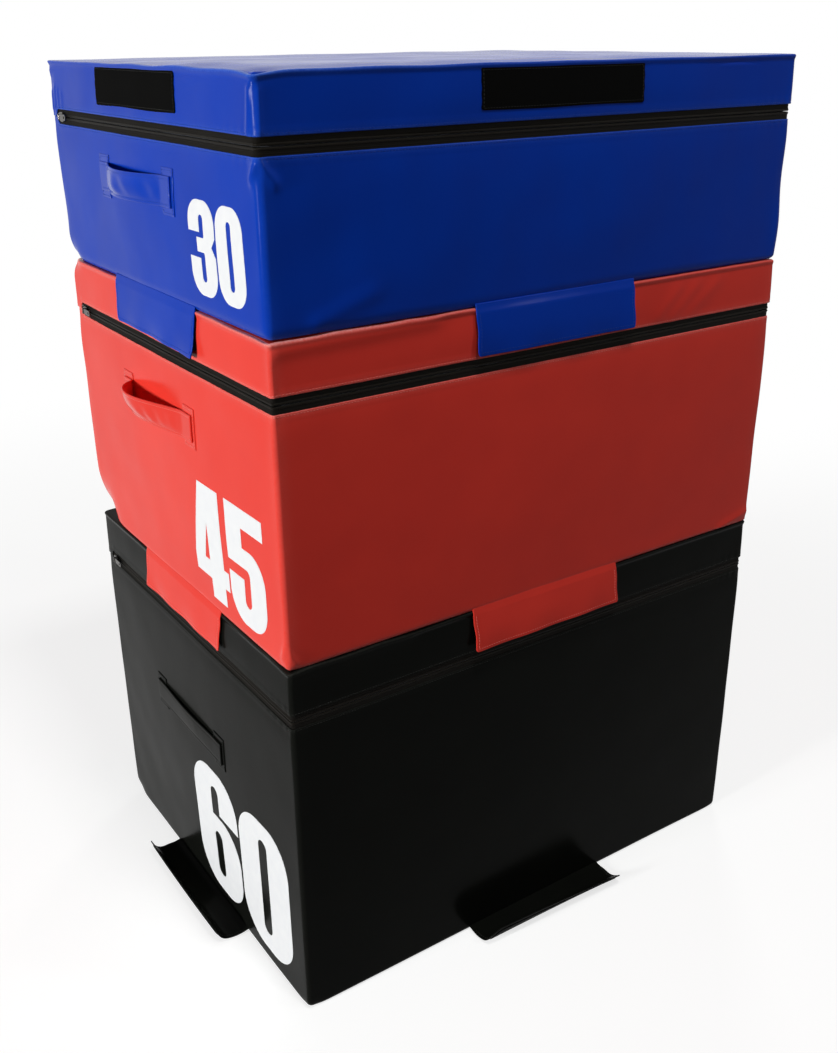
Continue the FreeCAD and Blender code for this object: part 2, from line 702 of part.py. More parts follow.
def numerals(box, base, digits):
    pair = []
    for k, digit in enumerate(digits):
        advance = f"{len(digits) - k} * {box}_digit_width + {len(digits) - 1 - k} * {box}_digit_gap"
        y = f"-box_width / 2 + {box}_digit_margin + {advance}"
        place = ("-box_length / 2", y, f"{base} + {box}_digit_base")
        body = new_body(f"{box}_numeral_{digit}", END_FACE, *place)
        pad_loops(body, f"{box}_outline_{digit}", "XY_Plane", numeral(digit, box), "ink_thickness")
        pair.append(body)
    group(f"{box}_numerals", pair)


def build_box(box, base, digits):
    foam_core(box, base)
    cover_tub(box, base)
    cover_lid(box, base)
    zip_stringer(box, base, "lower", -1)
    zip_stringer(box, base, "upper", 1)
    zip_slider(box, base)
    zip_pull(box, base)
    for side in ("left", "right"):
        handle(box, base, side)
    handle_anchors(box, base)
    on_floor = box == BOXES[0][0]
    for side in SIDES:
        flap(box, base, side, on_floor)
    loop_patches(box, base)
    numerals(box, base, digits)


def check_model():
    for item in doc.Objects:
        if {"Invalid", "Error"} & set(item.State):
            raise RuntimeError(f"{item.Label} failed: {item.State}")
    for node in nodes:
        if node.Shape.isNull() or not node.Shape.isValid():
            raise RuntimeError(f"{node.Label} has no valid shape")
        print(f"{node.Label}: {len(node.Shape.Solids)} solids, {node.Shape.Volume / 1000:.2f} cm3")


fill_sheet()
for name, bottom, digits in BOXES:
    build_box(name, bottom, digits)
doc.recompute()
check_model()
os.makedirs("parts", exist_ok=True)
for node in nodes:
    node.Shape.exportStep(f"parts/{node.Label}.step")
print(f"{len(nodes)} nodes written")
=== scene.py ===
# Three soft plyo boxes: foam blocks in zipped vinyl covers, stacked, with flaps on their bottom edges.
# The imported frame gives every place, and this script dresses it: covers, zips, flaps, straps, print, light.
import math

import bmesh
import bpy
import numpy as np
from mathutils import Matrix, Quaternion, Vector


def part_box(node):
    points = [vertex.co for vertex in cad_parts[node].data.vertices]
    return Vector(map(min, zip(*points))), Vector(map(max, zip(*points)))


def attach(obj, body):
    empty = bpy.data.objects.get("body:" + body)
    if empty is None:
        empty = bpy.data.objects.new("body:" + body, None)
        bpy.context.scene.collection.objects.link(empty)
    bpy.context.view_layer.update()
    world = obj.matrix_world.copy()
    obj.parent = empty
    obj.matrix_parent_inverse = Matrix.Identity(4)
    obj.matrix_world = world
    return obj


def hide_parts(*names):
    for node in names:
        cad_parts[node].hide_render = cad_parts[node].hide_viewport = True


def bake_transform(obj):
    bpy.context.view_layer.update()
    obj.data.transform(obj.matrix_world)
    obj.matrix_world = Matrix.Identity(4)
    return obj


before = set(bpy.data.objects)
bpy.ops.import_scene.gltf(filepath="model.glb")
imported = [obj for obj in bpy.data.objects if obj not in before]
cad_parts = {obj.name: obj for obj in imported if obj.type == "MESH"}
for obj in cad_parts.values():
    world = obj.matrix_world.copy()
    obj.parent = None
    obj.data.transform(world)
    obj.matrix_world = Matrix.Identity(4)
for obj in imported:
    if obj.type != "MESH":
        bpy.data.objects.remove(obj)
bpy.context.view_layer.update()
print("frame loaded:", len(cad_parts), "nodes")

mm = 0.001
boxNames = ("black", "red", "blue")  # from the floor up
sideFrames = {  # each wall's direction along it and out of it, so that along x up = out
    "front": (np.array((1.0, 0, 0)), np.array((0, -1.0, 0))),
    "right": (np.array((0, 1.0, 0)), np.array((1.0, 0, 0))),
    "back": (np.array((-1.0, 0, 0)), np.array((0, 1.0, 0))),
    "left": (np.array((0, -1.0, 0)), np.array((-1.0, 0, 0))),
}
cornerRadius = {"black": 0.0070, "red": 0.0062, "blue": 0.0100}  # of the upright edges
coverSeeds = {"black": 11, "red": 23, "blue": 37}
zipPlan = {
    "drop": 0.080,  # from the top of the lid to the zip
    "hemGap": 0.0105,  # from the zip to the folded hem on either side
    "seamGap": 0.0002,  # between tub and lid where there is no zip
    "end": 0.325,  # where the zip stops on both ends, behind their middle
    "fade": 0.008,  # the length over which the hems close there
    "endDepth": 0.015,  # walls this near to an end belong to it
}

levels = {}
for box in boxNames:
    tubLow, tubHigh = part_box(box + "_cover_tub")
    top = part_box(box + "_cover_lid")[1].z
    halfX, halfY = round(tubHigh.x, 6), round(tubHigh.y, 6)
    levels[box] = {"halfX": halfX, "halfY": halfY, "base": tubLow.z, "top": top, "zip": top - zipPlan["drop"]}


# materials
def toLinear(hexColour):
    # sRGB hex to linear red, green, blue and full alpha
    parts = np.array([int(hexColour[i : i + 2], 16) for i in (1, 3, 5)]) / 255
    linear = np.where(parts <= 0.04045, parts / 12.92, ((parts + 0.055) / 1.055) ** 2.4)
    return (*linear.tolist(), 1.0)


def addNode(tree, kind, settings=None, links=None, out=0):
    # one node: settings go to its inputs or properties by name, links join other nodes' outputs to its inputs
    # and the output that is asked for comes back
    made = tree.nodes.new("ShaderNode" + kind)
    for key, value in (settings or {}).items():
        if isinstance(key, str) and hasattr(made, key):
            setattr(made, key, value)
        else:
            made.inputs[key].default_value = value
    for key, source in (links or {}).items():
        tree.links.new(source, made.inputs[key])
    return made.outputs[out] if made.outputs else None


def newMaterial(name, settings):
    # a material, its tree, and the Object coordinates that its patterns lie on
    material = bpy.data.materials.new(name)
    material.use_nodes = True
    tree = material.node_tree
    for key, value in settings.items():
        tree.nodes["Principled BSDF"].inputs[key].default_value = value
    return material, tree, addNode(tree, "TexCoord", out="Object")


def joinShader(material, sockets):
    # the finished patterns linked to the shader
    tree = material.node_tree
    for key, socket in sockets.items():
        tree.links.new(socket, tree.nodes["Principled BSDF"].inputs[key])
    return material


def twoColours(firstHex, secondHex):
    # settings of a mix from one colour to another
    return {"data_type": "RGBA", 6: toLinear(firstHex), 7: toLinear(secondHex)}


vinylLook = {
    "ior": 1.5,
    "clouds": (0.120, 3.0),  # size and detail of the slow clouds in colour and gloss
    "grain": (0.0030, 2.0),  # real grain is near 1 mm, drawn at 3 mm so that it shows
    "dents": (0.045, 1.0),  # soft dents where the foam gives
    "cloudRange": (0.3, 0.7),
    "glossSpread": 0.08,
    "wearAndHighlightDulls": 0.25,
    "dentStrength": 0.35,
    "grainStrength": 0.12,
    "grainDepth": 0.0004,
}


def coatedVinyl(name, hexColour, paleWearAndHighlightHex, darkHex, gloss, dentDepth, smoothest):
    # PVC-coated fabric, calendered: an even saturated colour under a semi-gloss skin, with a faint leathery
    # grain, slow cloudiness in the gloss, and paler duller folded edges, part wear and part painted highlight
    v = vinylLook
    material, tree, place = newMaterial(name, {"IOR": v["ior"], "Specular IOR Level": gloss})
    cloud, grain, dents = [
        addNode(tree, "TexNoise", {"Scale": 1 / v[key][0], "Detail": v[key][1]}, {"Vector": place})
        for key in ("clouds", "grain", "dents")
    ]
    # paler, duller edges from the covers' mask: part wear, part painted highlight along hems, corners and
    # rims
    wearAndHighlight = addNode(tree, "Attribute", {"attribute_name": "wearAndHighlight"}, out="Fac")
    wearAndHighlightShare = addNode(tree, "Math", {"operation": "MULTIPLY"}, {0: wearAndHighlight, 1: grain})
    shade = addNode(tree, "Mix", twoColours(darkHex, hexColour), {0: cloud}, 2)
    colour = addNode(tree, "Mix", twoColours(hexColour, paleWearAndHighlightHex), {0: wearAndHighlightShare, 6: shade}, 2)
    span = {"From Min": v["cloudRange"][0], "From Max": v["cloudRange"][1]}
    span.update({"To Min": smoothest, "To Max": smoothest + v["glossSpread"]})
    smooth = addNode(tree, "MapRange", span, {"Value": cloud})
    dull = addNode(tree, "Math", {"operation": "MULTIPLY_ADD", 1: v["wearAndHighlightDulls"]}, {0: wearAndHighlightShare, 2: smooth})
    sag = addNode(tree, "Bump", {"Strength": v["dentStrength"], "Distance": dentDepth}, {"Height": dents})
    leather = {"Strength": v["grainStrength"], "Distance": v["grainDepth"]}
    bump = addNode(tree, "Bump", leather, {"Height": grain, "Normal": sag})
    return joinShader(material, {"Base Color": colour, "Roughness": dull, "Normal": bump})


pileLook = {"ior": 1.53, "gloss": 0.03, "sheenRoughness": 0.5, "detail": 4.0, "ragged": 0.65, "strength": 0.6}


def fibrePile(name, hexColour, paleHex, grainSize, sheen, roughness, depth):
    # knitted, woven or twisted fibre, and open foam: matt, light-eating tufts with a soft sheen at a glance
    p = pileLook
    settings = {"IOR": p["ior"], "Specular IOR Level": p["gloss"], "Roughness": roughness}
    settings.update({"Sheen Weight": sheen, "Sheen Roughness": p["sheenRoughness"]})
    material, tree, place = newMaterial(name, settings)
    tuft = {"Scale": 1 / grainSize, "Detail": p["detail"], "Roughness": p["ragged"]}
    tufts = addNode(tree, "TexNoise", tuft, {"Vector": place})
    shade = addNode(tree, "Mix", twoColours(hexColour, paleHex), {0: tufts}, 2)
    bump = addNode(tree, "Bump", {"Strength": p["strength"], "Distance": depth}, {"Height": tufts})
    return joinShader(material, {"Base Color": shade, "Normal": bump})


def zincAlloy(hexColour, smearSize, smearDetail, smoothest, dullest):
    # die-cast zinc with a nickel flash: grey metal, tumbled smooth, dulled where fingers rub it
    settings = {"Metallic": 1.0, "Base Color": toLinear(hexColour)}
    material, tree, place = newMaterial("nickelledZinc", settings)
    smear = addNode(tree, "TexNoise", {"Scale": 1 / smearSize, "Detail": smearDetail}, {"Vector": place})
    dull = addNode(tree, "MapRange", {"To Min": smoothest, "To Max": dullest}, {"Value": smear})
    return joinShader(material, {"Roughness": dull})


def screenInk(hexColour, paleHex, gloss, mottleSize, mottleDetail, smoothest, dullest):
    # white plastisol screen print: opaque, slightly soft to the gloss, with a faint mottle where it is thin
    settings = {"IOR": vinylLook["ior"], "Specular IOR Level": gloss}
    material, tree, place = newMaterial("whiteScreenInk", settings)
    mottle = addNode(tree, "TexNoise", {"Scale": 1 / mottleSize, "Detail": mottleDetail}, {"Vector": place})
    shade = addNode(tree, "Mix", twoColours(hexColour, paleHex), {0: mottle}, 2)
    dull = addNode(tree, "MapRange", {"To Min": smoothest, "To Max": dullest}, {"Value": mottle})
    return joinShader(material, {"Base Color": shade, "Roughness": dull})


# each vinyl's second colour, here and for the straps, is the pale of its worn edges and of the highlight
# painted along them
vinyl = {
    "blue": coatedVinyl("blueCoatedVinyl", "#023DB6", "#5C86DC", "#0233A6", 0.034, 0.0012, 0.17),
    "red": coatedVinyl("redCoatedVinyl", "#F04437", "#FFCFC6", "#E4382D", 0.05, 0.0009, 0.17),
    "black": coatedVinyl("blackCoatedVinyl", "#131411", "#3A3C38", "#0E0F0D", 0.0175, 0.0005, 0.17),
}
strapVinyl = {  # the same vinyl, polished by hands
    "blue": coatedVinyl("bluePolishedVinyl", "#023DB6", "#5C86DC", "#0233A6", 0.080, 0.0016, 0.09),
    "red": coatedVinyl("redPolishedVinyl", "#EC4236", "#FFB4A8", "#E0372C", 0.080, 0.0012, 0.11),
    "black": coatedVinyl("blackPolishedVinyl", "#121310", "#3A3C38", "#0E0F0D", 0.0185, 0.0005, 0.17),
}
# the red thread is paler than its vinyl: thread colour, and a painted highlight along the hems
thread = {
    "blue": fibrePile("bluePolyesterThread", "#0F2C86", "#2A50B4", 0.0012, 0.1, 0.6, 0.0001),
    "red": fibrePile("redPolyesterThread", "#E0625A", "#FF988C", 0.0012, 0.1, 0.6, 0.0001),
    "black": fibrePile("blackPolyesterThread", "#121211", "#30302C", 0.0012, 0.1, 0.6, 0.0001),
}
# the tape's twill is near 0.5 mm and is drawn coarser so that it shows
zipWeave = fibrePile("wovenZipTape", "#090807", "#1B1814", 0.0016, 0.05, 0.7, 0.0002)
zipNylon = fibrePile("nylonZipCoil", "#0C0B09", "#221E18", 0.0030, 0.02, 0.38, 0.0001)
loopPile = fibrePile("knittedLoopPile", "#020202", "#080807", 0.0022, 0.01, 0.95, 0.0006)
hookTape = fibrePile("mouldedHookTape", "#070706", "#151513", 0.0018, 0.01, 0.6, 0.0006)
foamBlock = fibrePile("polyurethaneFoam", "#4B4D52", "#6C6F75", 0.0045, 0.05, 0.95, 0.0010)
zipMetal = zincAlloy("#464340", 0.006, 3.0, 0.12, 0.30)
whiteInk = screenInk("#E9EBEE", "#F6F7F6", 0.3, 0.018, 4.0, 0.42, 0.60)
print("materials made")


# mesh helpers
def placed(name, data):
    # a new object in the scene, at the origin
    obj = bpy.data.objects.new(name, data)
    bpy.context.scene.collection.objects.link(obj)
    return obj


def quadGrid(ids, wrap=None):
    # quads of a 2-D array of vertex numbers: rows go up, columns go along, faces look along x up,
    # and rows (0) or columns (1) may wrap round to the first
    if wrap is not None:
        ids = np.concatenate([ids, ids.take([0], wrap)], wrap)
    return np.stack([ids[:-1, :-1], ids[:-1, 1:], ids[1:, 1:], ids[1:, :-1]], -1).reshape(-1, 4)


def makePiece(name, shape, material, body, creaseAngle=None):
    # one mesh object at the origin, from points, quads and any many-sided end caps
    points, quads, caps = (*shape, ())[:3]
    mesh = bpy.data.meshes.new(name)
    quads = np.asarray(quads, np.int32).reshape(-1, 4)
    corners = np.concatenate([quads.ravel(), *[np.asarray(c, np.int32) for c in caps]]).astype(np.int32)
    sizes = np.concatenate([np.full(len(quads), 4), [len(c) for c in caps]]).astype(np.int32)
    mesh.vertices.add(len(points))
    mesh.vertices.foreach_set("co", np.asarray(points, np.float32).ravel())
    mesh.loops.add(len(corners))
    mesh.loops.foreach_set("vertex_index", corners)
    mesh.polygons.add(len(sizes))
    mesh.polygons.foreach_set("loop_start", np.concatenate([[0], np.cumsum(sizes)[:-1]]).astype(np.int32))
    mesh.update(calc_edges=True)
    mesh.polygons.foreach_set("use_smooth", np.ones(len(sizes), bool))
    if creaseAngle is not None:
        mesh.set_sharp_from_angle(angle=math.radians(creaseAngle))
    mesh.materials.append(material)
    obj = placed(name, mesh)
    if body:
        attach(obj, body)
    return obj


def gridNormals(points):
    # unit normals of a grid, along x up
    normal = np.cross(np.gradient(points, axis=1), np.gradient(points, axis=0))
    return normal / np.linalg.norm(normal, axis=-1, keepdims=True)


def slab(middle, half):
    # two skins half a thickness either side of a middle grid, joined along the rim
    rows, columns = middle.shape[:2]
    count = rows * columns
    lift = gridNormals(middle) * half[..., None]
    points = np.concatenate([(middle + lift).reshape(-1, 3), (middle - lift).reshape(-1, 3)])
    face = np.arange(count).reshape(rows, columns)
    rim = np.concatenate([face[0, :], face[1:, -1], face[-1, -2::-1], face[-2:0:-1, 0]])
    wall = quadGrid(np.stack([rim + count, rim]), 1)
    return points, np.concatenate([quadGrid(face), quadGrid(face + count)[:, ::-1], wall])


edgeShape = {
    "firstSteps": np.array([0, 0.0005, 0.0012, 0.0024]),  # from a rounded edge inwards
    "evenFrom": 0.0045,
    "least": 0.3,  # of the thickness, left at the very edge
}


def edgeSteps(length, cell):
    # 0 to length, with a few short steps at both ends for a rounded edge
    start, even = edgeShape["firstSteps"], edgeShape["evenFrom"]
    inner = np.linspace(even, length - even, max(2, int(length / cell)))
    return np.concatenate([start, inner, (length - start)[::-1]])


def centred(length, cell):
    # the same steps from half a length before the middle to half a length after it
    return edgeSteps(length, cell) - length / 2


def roundedOff(thick, near, reach):
    # half thickness of a sheet: a quarter of an ellipse within a reach of its edges
    share = np.clip(near / reach, 0, 1)
    return thick / 2 * (edgeShape["least"] + (1 - edgeShape["least"]) * np.sqrt(1 - (1 - share) ** 2))


def roundedEdge(s, w, long, wide, thick):
    # half thickness of a sheet that goes 0 to long one way and half its width to either side the other way
    near = np.minimum(np.minimum(wide / 2 - np.abs(w), long - s), s)
    return roundedOff(thick, near, thick / 2)


def cornerTrim(s, long, corner):
    # how far a quarter circle at the end of a length takes the side in
    beyond = np.clip(s - (long - corner), 0, corner)
    return corner - np.sqrt(np.maximum(corner**2 - beyond**2, 0))


def joined(parts):
    # several (points, quads) sets as one
    counts = np.cumsum([0] + [len(p) for p, _ in parts])
    quads = [q + count for (_, q), count in zip(parts, counts)]
    return np.concatenate([p for p, _ in parts]), np.concatenate(quads)


def ripple(points, wavelength, seed, waves=7):
    # slow unevenness: a sum of plane sine waves in seeded directions, about plus and minus one
    rng = np.random.default_rng(seed)
    heading = rng.normal(size=(waves, 3))
    heading /= np.linalg.norm(heading, axis=1, keepdims=True)
    turns = heading / (wavelength * rng.uniform(0.75, 1.4, (waves, 1))) * 2 * np.pi
    return np.sin(points @ turns.T + rng.uniform(0, 2 * np.pi, waves)).sum(-1) / math.sqrt(waves)


waveShape = {  # wavelength and height of each kind of unevenness, and what it adds to a cover's seed
    "slow": (0.26, 0.0007, 0),
    "quick": (0.085, 0.00028, 100),
    "edge": (0.075, 0.0011, 70),
    "top": (0.11, 0.0015, 80),
    "crown": (0.22, 0.25, 50),
    "bottom": (0.2, 1.0, 60),
    "strap": (0.034, 0.35, 90),
}
panelSeed = {"tub": 0, "lid": 5}


def wavy(box, kind, points, panel="tub"):
    # one kind of unevenness at some points of a box
    length, height, shift = waveShape[kind]
    return height * ripple(points, length, coverSeeds[box] + shift + panelSeed[panel])


def easeIn(t, start, length):
    # smooth step from 0 at a start to 1 a length after it
    t = np.clip((t - start) / length, 0, 1)
    return t * t * (3 - 2 * t)


def bell(distance, reach):
    # 1 at no distance, falling off as a bell curve
    return np.exp(-((distance / reach) ** 2))


def hug(box, run):
    # the plain walls round a box, a rounded rectangle, by arc length anticlockwise from the middle of the
    # front-left corner: point, way out of the wall, and the arc lengths where straights and arcs meet
    radius = cornerRadius[box]
    coreX, coreY = levels[box]["halfX"] - radius, levels[box]["halfY"] - radius
    arc = np.pi / 2 * radius
    knots = np.cumsum([0, arc / 2, 2 * coreX, arc, 2 * coreY, arc, 2 * coreX, arc, 2 * coreY, arc / 2])
    run = np.mod(run, knots[-1])
    turn = np.radians(np.interp(run, knots, [-135, -90, -90, 0, 0, 90, 90, 180, 180, 225]))
    x = np.interp(run, knots, coreX * np.array([-1, -1, 1, 1, 1, 1, -1, -1, -1, -1]))
    y = np.interp(run, knots, coreY * np.array([-1, -1, -1, -1, 1, 1, 1, 1, -1, -1]))
    nx, ny = np.cos(turn), np.sin(turn)
    return x + nx * radius, y + ny * radius, nx, ny, knots


# covers
coverShape = {
    "columnsX": 132,
    "columnsY": 102,
    "arcSteps": 6,
    "crowd": 0.3,  # columns and rows stand closer towards the corners and edges
    "rowPitch": 0.0075,
    "tubRows": 14,  # at least
    "lidRows": 16,
    "roundRows": 9,  # over the bottom edge
    "roundShare": 0.85,  # of the corner's radius, which the bottom edge turns in by
    "wall": 0.002,
    "foamGap": 0.0003,
    "tubCrown": 0.0030,
    "lidCrown": 0.0016,
    "tubDrawIn": 0.0019,  # the zip pulls both hems in, the tub's more, so that the lid overhangs it
    "lidDrawIn": 0.0004,
    "drawReach": 0.026,
    "lidLean": 0.0024,  # the lid's rim leans in towards the top
    "cornerReach": 0.050,
    "sharpReach": 0.014,
    "crispReach": 0.12,  # the front-right bottom corner is rounded least
    "crispShare": 0.55,
    "topDepth": 0.006,
    "topLeast": 0.2,  # the top's edge waves most at the front left
    "topReach": 0.35,
    "dipReach": 0.028,
    "dipDepth": 0.020,
    "crownMean": 0.5,
    "crownMost": 1.2,
    "crownPower": 6,
    "bottomSize": 0.0006,
}
gatherShape = {  # the stitches gather the vinyl along the hems, most at the corners, unevenly
    "pitch": 0.017,
    "size": 0.00032,
    "reach": 0.012,
    "drift": (0.004, 37.0),  # size, and radians to a metre
    "least": 0.35,
    "atCorners": 0.5,
    "comes": (0.4, 9.0),
}
lining = {  # rows of the shells' inner faces, and how far they keep from rim, floor and ceiling
    "capShare": 0.9,
    "tubRows": 8,
    "tubRim": 0.006,
    "tubTurn": 0.020,
    "tubFoot": (0.004, 0.006),
    "lidRows": 5,
    "lidRim": 0.008,
    "lidTurn": 0.012,
    "lidHead": (0.0035, 0.003),
}
wearAndHighlightShape = {  # where the vinyl is painted pale along hems, corners and outer edges: part wear, part painted highlight, most at the front left
    "hem": 0.35,
    "hemReach": 0.003,
    "corner": 0.07,
    "edgeReach": 0.0025,
    "edgeLeast": 0.30,
    "edgeSpread": 0.26,
}
hemProfile = mm * np.array(  # inset and distance from the rim, over the folded edge from outside to inside
    [(0, 15), (0, 12.2), (-0.02, 11.2), (-0.10, 10.3), (-0.16, 9), (-0.22, 7.4), (-0.26, 6.0), (-0.24, 4.6)]
    + [(-0.05, 3.0), (-0.30, 1.8), (-0.24, 0.9), (0.05, 0.3), (0.6, 0), (1.3, 0.25), (1.8, 0.9), (2.0, 2.2)]
    + [(2.0, 6)]
)
weltProfile = mm * np.array(  # inset and distance from the top, over the sewn ridge along the top edge
    [(0, 9.5), (-0.15, 8.0), (-0.5, 6.4), (-1.0, 4.9), (-1.25, 3.6), (-1.15, 2.4), (-0.6, 1.4)]
    + [(0.3, 0.75), (1.3, 0.4), (2.6, 0.2), (4.0, 0.08), (5.6, 0.0)]
)
coverUneven = {"black": 0.40, "red": 0.65, "blue": 1.0}  # how wavy each cover is, the stiffest least
topCrown = {"black": -0.0010, "red": -0.0010, "blue": 0.0020}  # the lower two are pressed flat from above
bottomRise = {"black": 0.0085, "red": 0.0095, "blue": 0.0170}  # how high the bottom edge is rounded
topDip = {"black": 0.0015, "red": 0.0020, "blue": 0.0042}  # how far the lid drops at its front-left corner
cornerSlump = {  # how far the bottom corners are knocked in: front left, front right, back right, back left
    "black": (0.007, 0.004, 0.010, 0.014),
    "red": (0.004, 0.002, 0.016, 0.040),
    "blue": (0.004, 0.003, 0.010, 0.020),
}
lidSlump = {  # and the lid's top corners, in the same order
    "black": (0.0, 0.0, 0.006, 0.003),
    "red": (0.0, 0.003, 0.010, 0.014),
    "blue": (0.0, 0.0, 0.004, 0.0),
}
# height and reach are shares of a slump, with a least of each in metres
slumpSpread = {"height": 2.2, "reach": 0.9, "leastHeight": 0.0001, "leastReach": 0.012}
puckers = {  # folds on a wall, in mm: side, from (along, above zip), to (along, above zip), height, width
    "black": [("front", -440, 70, -250, 74, 1.6, 10)],
    "red": [
        ("front", 196, 22, 236, 58, 1.9, 9),
        ("front", 228, 20, 276, 60, 1.7, 9),
        ("front", 262, 20, 318, 58, 1.4, 10),
        ("front", -435, 68, -210, 73, 2.6, 11),
        ("left", 338, -352, 344, -338, 2.4, 5),
        ("front", -438, -356, -447, -342, 2.4, 5),
        ("front", 385, -364, 447, -351, 2.2, 7),
    ],
    "blue": [
        ("front", -449, -14, -428, -40, 3.4, 6),
        ("left", 349, -13, 336, -36, 3.2, 5),
        ("left", -340, 12, -339, 34, 1.5, 4),
        ("left", -327, 12, -325, 42, 1.4, 4),
        ("left", -313, 12, -312, 38, 1.2, 4),
        ("left", -299, 12, -297, 34, 0.9, 4),
        ("left", 334, 14, 338, 62, 1.9, 4),
        ("front", -443, 16, -441, 60, 1.5, 4),
        ("front", -300, -178, -380, -205, 2.0, 12),
    ],
}


def wallStandOff(box, panel, x, y, z, nx, ny):
    # how far a cover's wall stands out of its plane: a crown between the edges, slow waves, a dip at the zip
    # and folds, each fold a bell curve across the line from its start to its end
    s, b = coverShape, levels[box]
    low, high = (b["base"], b["zip"]) if panel == "tub" else (b["zip"], b["top"])
    up = np.clip((z - low) / (high - low), 0, 1)
    across = ny**2 * (1 - (x / b["halfX"]) ** 2) ** 2 + nx**2 * (1 - (y / b["halfY"]) ** 2) ** 2
    points = np.stack(np.broadcast_arrays(x, y, z), -1)
    waves = wavy(box, "slow", points, panel) + wavy(box, "quick", points, panel)
    out = s[panel + "Crown"] * across * (1 - (2 * up - 1) ** 2) ** 2 + coverUneven[box] * waves
    if panel == "lid":
        out = out - s["lidLean"] * up
    out = out - s[panel + "DrawIn"] * bell(z - b["zip"], s["drawReach"])
    for side, *fold in puckers[box]:
        startU, startV, endU, endV, height, width = np.array(fold) * mm
        along, outward = sideFrames[side]
        facing = np.clip(nx * outward[0] + ny * outward[1], 0, 1) ** 2
        u, v = x * along[0] + y * along[1] - startU, z - b["zip"] - startV
        du, dv = endU - startU, endV - startV
        t = np.clip((u * du + v * dv) / (du * du + dv * dv), 0, 1)
        out = out + facing * height * bell(np.hypot(u - t * du, v - t * dv), width)
    return out


def slumped(box, points):
    # points moved in along the diagonal near the corners, the more the nearer to the bottom or the top
    b, spread = levels[box], slumpSpread
    aboveBase, belowTop = points[..., 2] - b["base"], b["top"] - points[..., 2]
    for number, (signX, signY) in enumerate(((-1, -1), (1, -1), (1, 1), (-1, 1))):
        away = np.hypot(points[..., 0] - signX * b["halfX"], points[..., 1] - signY * b["halfY"])
        for slump, height in ((cornerSlump[box][number], aboveBase), (lidSlump[box][number], belowTop)):
            fall = np.clip(1 - height / (spread["height"] * slump + spread["leastHeight"]), 0, 1) ** 2
            near = bell(away, spread["reach"] * slump + spread["leastReach"])
            move = near * fall * slump / math.sqrt(2)
            points = points - np.stack([signX * move, signY * move, 0 * move], -1)
    return points


def sidePoints(box, side, along, out, level):
    # points by their place along a wall, out of its plane and up
    alongDir, outDir = sideFrames[side]
    half = levels[box]["halfX"] if outDir[0] else levels[box]["halfY"]
    along, out, level = np.broadcast_arrays(along, out, level)
    x = along * alongDir[0] + (half + out) * outDir[0]
    y = along * alongDir[1] + (half + out) * outDir[1]
    return np.stack([x, y, level], -1)


def sideStandOff(box, panel, side, along, level):
    # how far a dressed wall stands out at places along it
    x, y, z = np.moveaxis(sidePoints(box, side, along, 0.0, level), -1, 0)
    return wallStandOff(box, panel, x, y, z, *sideFrames[side][1][:2])


def onWall(box, panel, side, along, level, out):
    # points on a dressed wall: along it from its middle, at a level, some way out of the cover
    return sidePoints(box, side, along, sideStandOff(box, panel, side, along, level) + out, level)


def crowded(count):
    # 0 to 1 in steps that are shorter towards both ends
    t = np.linspace(-1, 1, count)
    return (t * (1 + coverShape["crowd"]) - coverShape["crowd"] * t**3 + 1) / 2


def ringRuns(box):
    # arc lengths of the columns round a box
    s, b = coverShape, levels[box]
    radius = cornerRadius[box]
    arc = np.pi / 2 * radius
    inArc = np.arange(s["arcSteps"]) / s["arcSteps"] * arc / 2
    runs, start = [], 0.0
    for half, count in 2 * ((b["halfX"], s["columnsX"]), (b["halfY"], s["columnsY"])):
        straight = 2 * (half - radius)
        runs.append(start + inArc)
        runs.append(start + arc / 2 + straight * crowded(count + 1))
        runs.append(start + arc / 2 + straight + inArc[1:])
        start += arc + straight
    return np.concatenate(runs)


def coverRing(box):
    # the columns round a box: place, way out, nearness to the corners, and the gap from the zip to the hems
    s = coverShape
    run = ringRuns(box)
    x, y, nx, ny, knots = hug(box, run)
    corners = np.array([0, *[(knots[i] + knots[i + 1]) / 2 for i in (2, 4, 6)], knots[-1]])
    toCorner = np.abs(run[:, None] - corners).min(1)
    stop = zipPlan["end"] + zipPlan["fade"] / 2
    onEnd = np.abs(x) > levels[box]["halfX"] - zipPlan["endDepth"]
    zipped = np.where(onEnd, easeIn(stop - y, 0, zipPlan["fade"]), 1.0) * (y <= stop)
    return {
        "run": run,
        "x": x,
        "y": y,
        "nx": nx,
        "ny": ny,
        "corner": bell(toCorner, s["cornerReach"]),
        "sharp": bell(toCorner, s["sharpReach"]),
        "crisp": bell(run - corners[1], s["crispReach"]),
        "fromFirst": np.minimum(run, knots[-1] - run),  # distance round the box from the front-left corner
        "gap": zipPlan["seamGap"] + zipPlan["hemGap"] * zipped,
    }


# the rows of a shell come in blocks: inset from the wall, level, share of the wall's waves, and 1 outside
def wallRows(low, high, count):
    # plain rows up a wall, closer together towards its ends
    share = crowded(count)[1:-1, None]
    return 0.0, low + (high - low) * share, np.ones_like(share), 1.0


